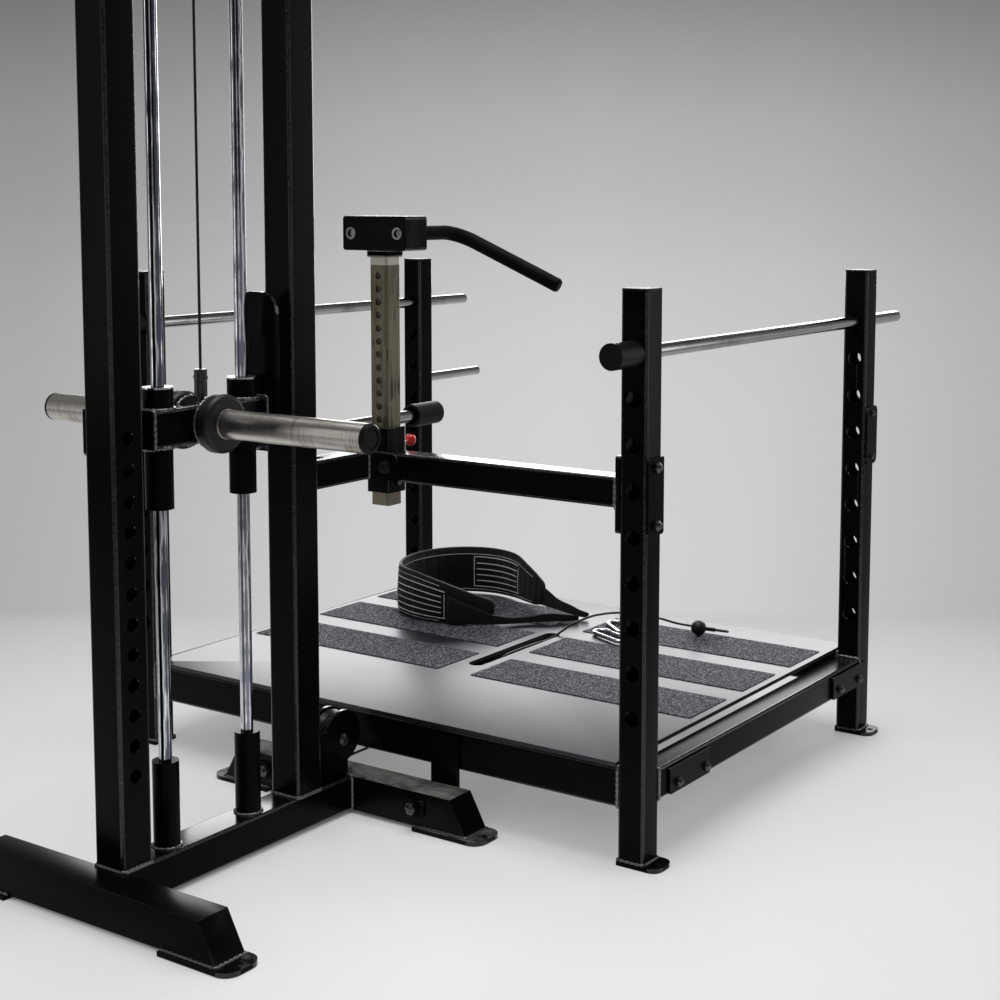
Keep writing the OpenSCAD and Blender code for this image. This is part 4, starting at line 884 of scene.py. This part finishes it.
def weld_rectangle(centre, first, second):
    """A closed bead round a rectangle, given its middle and two half sides."""
    cut_first, cut_second = first.normalized() * CORNER_CUT, second.normalized() * CORNER_CUT
    corners = []
    for a, b, swap in ((1, 1, 0), (-1, 1, 1), (-1, -1, 0), (1, -1, 1)):
        corner = centre + first * a + second * b
        pair = [corner - cut_second * b, corner - cut_first * a]
        corners += pair[::-1] if swap else pair
    return dense(corners)


def weld_ring(centre, radius, normal):
    """A closed bead round a circle."""
    count = max(24, round(2 * math.pi * radius / BEAD_STEP))
    turn = normal.to_track_quat("Z", "Y").to_matrix()
    return [centre + turn @ Vector((radius * math.cos(2 * math.pi * k / count),
                                    radius * math.sin(2 * math.pi * k / count), 0.0))
            for k in range(count)]


def bead(k):
    """How much of its radius the bead has at its point number k."""
    return 1.0 + 0.26 * math.sin(k * 2.1)


def add_welds(name, closed_lines, body, radius=BEAD_RADIUS):
    """One painted curve object with all the beads on a body."""
    piece = add_curve(name, closed_lines, radius, resolution=2, closed=True, swell=bead)
    piece.data.materials.append(WELD_COAT)
    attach(piece, body)


TUBE, POST, ARM = 0.033, 0.0265, 0.0255  # half sections of the tubes, to the middle of a bead
UPRIGHTS, RODS = (32.5, 451.5), (128, 324)
POSTS, POST_X = (670, 1589), 596
frame_welds = [weld_rectangle(tower_point(0, y, z), X * TUBE, Y * TUBE)
               for z in (73.5, 1934.5) for y in UPRIGHTS]
frame_welds += [weld_rectangle(tower_point(0, y, 40.5), X * TUBE, Z * TUBE) for y in (3, 570)]
frame_welds += [weld_ring(tower_point(0, y, 73.5), 0.023, Z) for y in RODS]
frame_welds += [
    weld_rectangle(tower_point(0, 484.5, 654.5), X * ARM, Z * 0.027),
    weld_rectangle(tower_point(0, 637.5, 654.5), X * ARM, Z * 0.025),
    weld_rectangle(tower_point(560.5, 669, 654.5), Y * ARM, Z * 0.027),
    weld_ring(tower_point(-POST_X, 1615.5, 700), 0.012, Y),
]
for sx in (-1, 1):
    for y in POSTS:
        frame_welds.append(weld_rectangle(tower_point(sx * 569.5, y, 138.5), Y * POST, Z * 0.037))
        frame_welds.append(weld_rectangle(tower_point(sx * POST_X, y, 8.5), X * POST, Y * POST))
    for y in (696.5, 1562.5):
        frame_welds.append(weld_rectangle(tower_point(sx * POST_X, y, 138.5), X * POST, Z * 0.029))
    for y in (-29.5, 602.5):
        corners = ((182, -33), (297, -33), (297, 33), (182, 33))
        frame_welds.append(dense([tower_point(sx * x, y + dy, 8.5) for x, dy in corners]))
add_welds("frame_welds", frame_welds, "frame")
print("frame welds:", len(frame_welds))

# %% Carriage welds
carriage_welds = [weld_ring(tower_point(0, y, z), radius, Z)
                  for z, radius in ((748.5, 0.0242), (811.5, 0.0262)) for y in RODS]
carriage_welds.append(weld_ring(tower_point(0, 226, 811.5), 0.0068, Z))
carriage_welds += [weld_rectangle(tower_point(0, y, 780), X * ARM, Z * 0.0315) for y in (361.5, 96.5)]
carriage_welds += [weld_ring(tower_point(x, 226, 780), 0.0415, X) for x in (25.5, -25.5)]
add_welds("carriage_welds", carriage_welds, "carriage")
head_welds = [weld_rectangle(tower_point(0, 720, z), X * 0.0245, Y * 0.0245) for z in (1045.5, 1055.5)]
add_welds("head_welds", head_welds, "hand post", 0.0018)
print("carriage welds:", len(carriage_welds), "head welds:", len(head_welds))

# %% [markdown]
# The lifting run of the cable grows shorter as the carriage rises, because the top pulley
# takes it in. Its own piece is a plain round bar that spans the run of the CAD model, between
# the pulley and the fitting on the carriage.

# %% Lifting cable
lift_low, lift_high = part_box("cable_lift")
span = lift_high.z - lift_low.z
bm = bmesh.new()
bmesh.ops.create_cone(bm, cap_ends=True, segments=20, radius1=CABLE_RADIUS, radius2=CABLE_RADIUS,
                      depth=span)
bmesh.ops.translate(bm, verts=bm.verts, vec=(lift_low + lift_high) / 2)
lifting_cable = add_object("lifting_cable", bpy.data.meshes.new("lifting_cable"))
finish_mesh(lifting_cable, bm, CABLE_COAT)
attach(lifting_cable, "frame")
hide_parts("cable_lift")
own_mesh(lifting_cable)
loose_cable.data.materials.append(CABLE_COAT)

# %% [markdown]
# The studio is a pale floor that runs on to the horizon. Past the machine it shows the grey
# of a backdrop with a painted falloff of light, brightest in its middle. Near the machine the
# floor has a painted pool of light and a painted contact shadow under the platform, and it
# also takes soft shadows. The other half of the studio is dark, so black paint stays black.
# Pale cards and a pale floor far off in that half give the chromed rods something to mirror.

# %% Backdrop shade
HEADING = math.radians(34.9)
BACKDROP_MIDDLE = 0.05
SIDE_STOPS = [(0.0, 1.0), (0.12, 0.93), (0.24, 0.75), (0.32, 0.65), (0.8, 0.5)]


def turned_parts(tree, vector):
    """Splits a vector into its parts across and along the studio's long direction."""
    turned = add_node(tree, "ShaderNodeMapping", [("Vector", vector)], Rotation=(0.0, 0.0, -HEADING))
    return add_node(tree, "ShaderNodeSeparateXYZ", [("Vector", turned.outputs["Vector"])])


def grey_ramp(tree, value, low, high, stops):
    """A ramp of greys over a range of a value, with its stops given on that range."""
    ranged = add_node(tree, "ShaderNodeMapRange", [("Value", value)], From_Min=low, From_Max=high)
    shares = [((at - low) / (high - low), (grey, grey, grey)) for at, grey in stops]
    return ramp(tree, ranged.outputs["Result"], shares)


def painted_side_falloff(tree, across, along):
    """Painted light on the backdrop: brightest in its middle and falling off to both sides."""
    slant = number(tree, "DIVIDE", across, number(tree, "MAXIMUM", along, 0.001))
    off = number(tree, "ABSOLUTE", number(tree, "SUBTRACT", slant, BACKDROP_MIDDLE), 0.0)
    return grey_ramp(tree, off, 0.0, 1.0, SIDE_STOPS)


def seen_rays(tree):
    """1 for the rays that show the backdrop: straight from the camera, by gloss or through glass."""
    rays = tree.nodes.new("ShaderNodeLightPath")
    some = number(tree, "MAXIMUM", rays.outputs["Is Camera Ray"], rays.outputs["Is Glossy Ray"])
    return number(tree, "MAXIMUM", some, rays.outputs["Is Transmission Ray"])


def times(tree, first, second):
    """One colour times another."""
    made = add_node(tree, "ShaderNodeVectorMath", [(0, first), (1, second)], operation="MULTIPLY")
    return made.outputs[0]


print("backdrop helpers ready")

# %% Floor
# The near floor's grey is a painted pool of light round NEAR_MIDDLE that fades with distance. Far off it
# turns pale again for the rods to mirror.
NEAR_MIDDLE = (0.05, -0.9)
NEAR_STOPS = [(0.0, 0.88), (0.5, 0.84), (0.9, 0.76), (1.6, 0.64), (2.3, 0.50), (3.2, 0.30), (5.0, 0.16),
              (6.5, 0.6), (9.5, 0.8)]
FAR_STOPS = [(0.0, 0.66), (1.2, 0.66), (2.5, 0.645), (3.1, 0.63), (4.0, 0.60), (5.5, 0.54)]
CONTACT_SHADOW_STOPS = [(0.06, 0.1), (0.22, 1.0)]
FAN_BACK = 3.38  # the backdrop's shade fans out from this far behind the machine
FAR_FROM, FAR_FULL = 1.20, 1.30
GLOW_SHARE = 0.42
bm = bmesh.new()
bmesh.ops.create_grid(bm, x_segments=2, y_segments=2, size=60.0)
floor = add_object("studio_floor", bpy.data.meshes.new("studio_floor"))
bm.to_mesh(floor.data)
bm.free()
floor.location.z = -0.0005
material = bpy.data.materials.new("studio_floor")
material.use_nodes = True
tree = material.node_tree
tree.nodes.clear()
place = tree.nodes.new("ShaderNodeTexCoord")
parts = turned_parts(tree, place.outputs["Object"])
across, along = parts.outputs["X"], parts.outputs["Y"]
dx, dy = (number(tree, "SUBTRACT", part, middle) for part, middle in zip((across, along), NEAR_MIDDLE))
away = number(tree, "SQRT", number(tree, "ADD", number(tree, "MULTIPLY", dx, dx),
                                   number(tree, "MULTIPLY", dy, dy)), 0.0)
painted_light_pool = grey_ramp(tree, away, 0.0, 10.0, NEAR_STOPS)
# Past the machine the floor shows the backdrop with a painted falloff of light, dimmer far off and to the
# sides.
doublings = number(tree, "LOGARITHM", number(tree, "MAXIMUM", along, 0.5), 2.0)
far_shade = times(tree, grey_ramp(tree, doublings, -1.0, 6.0, FAR_STOPS),
                  painted_side_falloff(tree, across, number(tree, "ADD", along, FAN_BACK)))
lit_near = add_node(tree, "ShaderNodeBsdfDiffuse", [("Color", painted_light_pool)])
# Where the machine closes over the floor its glow is darkened: a painted contact shadow, deepest under the
# platform.
open_sky = add_node(tree, "ShaderNodeAmbientOcclusion", Distance=0.3)
open_sky.samples = 12
under = grey_ramp(tree, open_sky.outputs["AO"], 0.0, 1.0, CONTACT_SHADOW_STOPS)
glow_near = add_node(tree, "ShaderNodeEmission", [("Color", times(tree, painted_light_pool, under))], Strength=1.0)
glow_far = add_node(tree, "ShaderNodeEmission", [("Color", far_shade)], Strength=1.0)
shown_near = add_node(tree, "ShaderNodeMixShader", Fac=GLOW_SHARE)
tree.links.new(lit_near.outputs["BSDF"], shown_near.inputs[1])
tree.links.new(glow_near.outputs["Emission"], shown_near.inputs[2])
past = add_node(tree, "ShaderNodeMapRange", [("Value", along)], From_Min=FAR_FROM, From_Max=FAR_FULL)
shown = add_node(tree, "ShaderNodeMixShader", [("Fac", past.outputs["Result"])])
tree.links.new(shown_near.outputs[0], shown.inputs[1])
tree.links.new(glow_far.outputs["Emission"], shown.inputs[2])
both = add_node(tree, "ShaderNodeMixShader", [("Fac", seen_rays(tree))])
tree.links.new(lit_near.outputs["BSDF"], both.inputs[1])
tree.links.new(shown.outputs[0], both.inputs[2])
add_node(tree, "ShaderNodeOutputMaterial", [("Surface", both.outputs[0])])
floor.data.materials.append(material)
print("floor ready")

# %% World
HEIGHT_STOPS = [(-0.05, 0.56), (-0.019, 0.538), (0.0, 0.505), (0.046, 0.44), (0.08, 0.36), (0.114, 0.275),
                (0.2, 0.2), (0.4, 0.15)]
FRONT_STOPS = [(-0.25, 0.07), (0.4, 1.0)]
CARD_STOPS = [(-0.92, 0.0), (-0.8, 0.9), (-0.55, 0.9), (-0.42, 0.0), (-0.12, 0.0), (0.0, 0.8), (0.2, 0.8),
              (0.32, 0.0), (0.62, 0.0), (0.75, 0.9)]
world = bpy.data.worlds.new("studio_world")
bpy.context.scene.world = world
world.use_nodes = True
tree = world.node_tree
tree.nodes.clear()
direction = tree.nodes.new("ShaderNodeTexCoord")
parts = turned_parts(tree, direction.outputs["Generated"])
# What camera and gloss see here is a painted falloff of light: paler low down and in the backdrop's middle,
# darker upward.
height = grey_ramp(tree, parts.outputs["Z"], -0.1, 0.4, HEIGHT_STOPS)
sides = painted_side_falloff(tree, parts.outputs["X"], parts.outputs["Y"])
front = grey_ramp(tree, parts.outputs["Y"], -1.0, 1.0, FRONT_STOPS)
cards = grey_ramp(tree, parts.outputs["X"], -1.0, 1.0, CARD_STOPS)
backdrop = number(tree, "MAXIMUM", number(tree, "MULTIPLY", sides, front), cards)
seen = times(tree, height, backdrop)
shown = add_node(tree, "ShaderNodeBackground", [("Color", seen)], Strength=1.0)
lit = add_node(tree, "ShaderNodeBackground", Color=(0.2, 0.204, 0.212, 1.0), Strength=1.0)
pick = add_node(tree, "ShaderNodeMixShader", [("Fac", seen_rays(tree))])
tree.links.new(lit.outputs["Background"], pick.inputs[1])
tree.links.new(shown.outputs["Background"], pick.inputs[2])
add_node(tree, "ShaderNodeOutputWorld", [("Surface", pick.outputs[0])])
print("world ready")

# %% Lamps
def add_softbox(name, place, aim, size, power):
    """A flat lamp that lights and shines in gloss, but is never in the picture itself."""
    data = bpy.data.lights.new(name, "AREA")
    data.shape = "RECTANGLE"
    data.size, data.size_y = size
    data.energy = power
    lamp = add_object(name, data)
    lamp.location = place
    lamp.rotation_euler = (Vector(aim) - Vector(place)).to_track_quat("-Z", "Y").to_euler()
    lamp.visible_camera = False


def studio_point(across, along, height):
    """A place in metres across and along the studio's long direction."""
    sideways = Vector((math.cos(HEADING), math.sin(HEADING), 0.0))
    ahead = Vector((-math.sin(HEADING), math.cos(HEADING), 0.0))
    return sideways * across + ahead * along + Vector((0, 0, height))


add_softbox("overhead_softbox", (0.1, -0.1, 4.0), (0.0, 0.0, 0.0), (3.2, 3.0), 142)
add_softbox("back_softbox", studio_point(0.75, 4.6, 1.75), studio_point(0.3, 0.0, 0.6), (5.2, 2.1), 168)
add_softbox("right_softbox", studio_point(3.4, 0.6, 1.5), studio_point(0.2, 0.0, 0.8), (0.8, 2.4), 9)
add_softbox("left_softbox", studio_point(-3.2, -1.2, 1.6), studio_point(-0.2, 0.0, 0.8), (0.7, 2.4), 6)
print("lamps: 4")
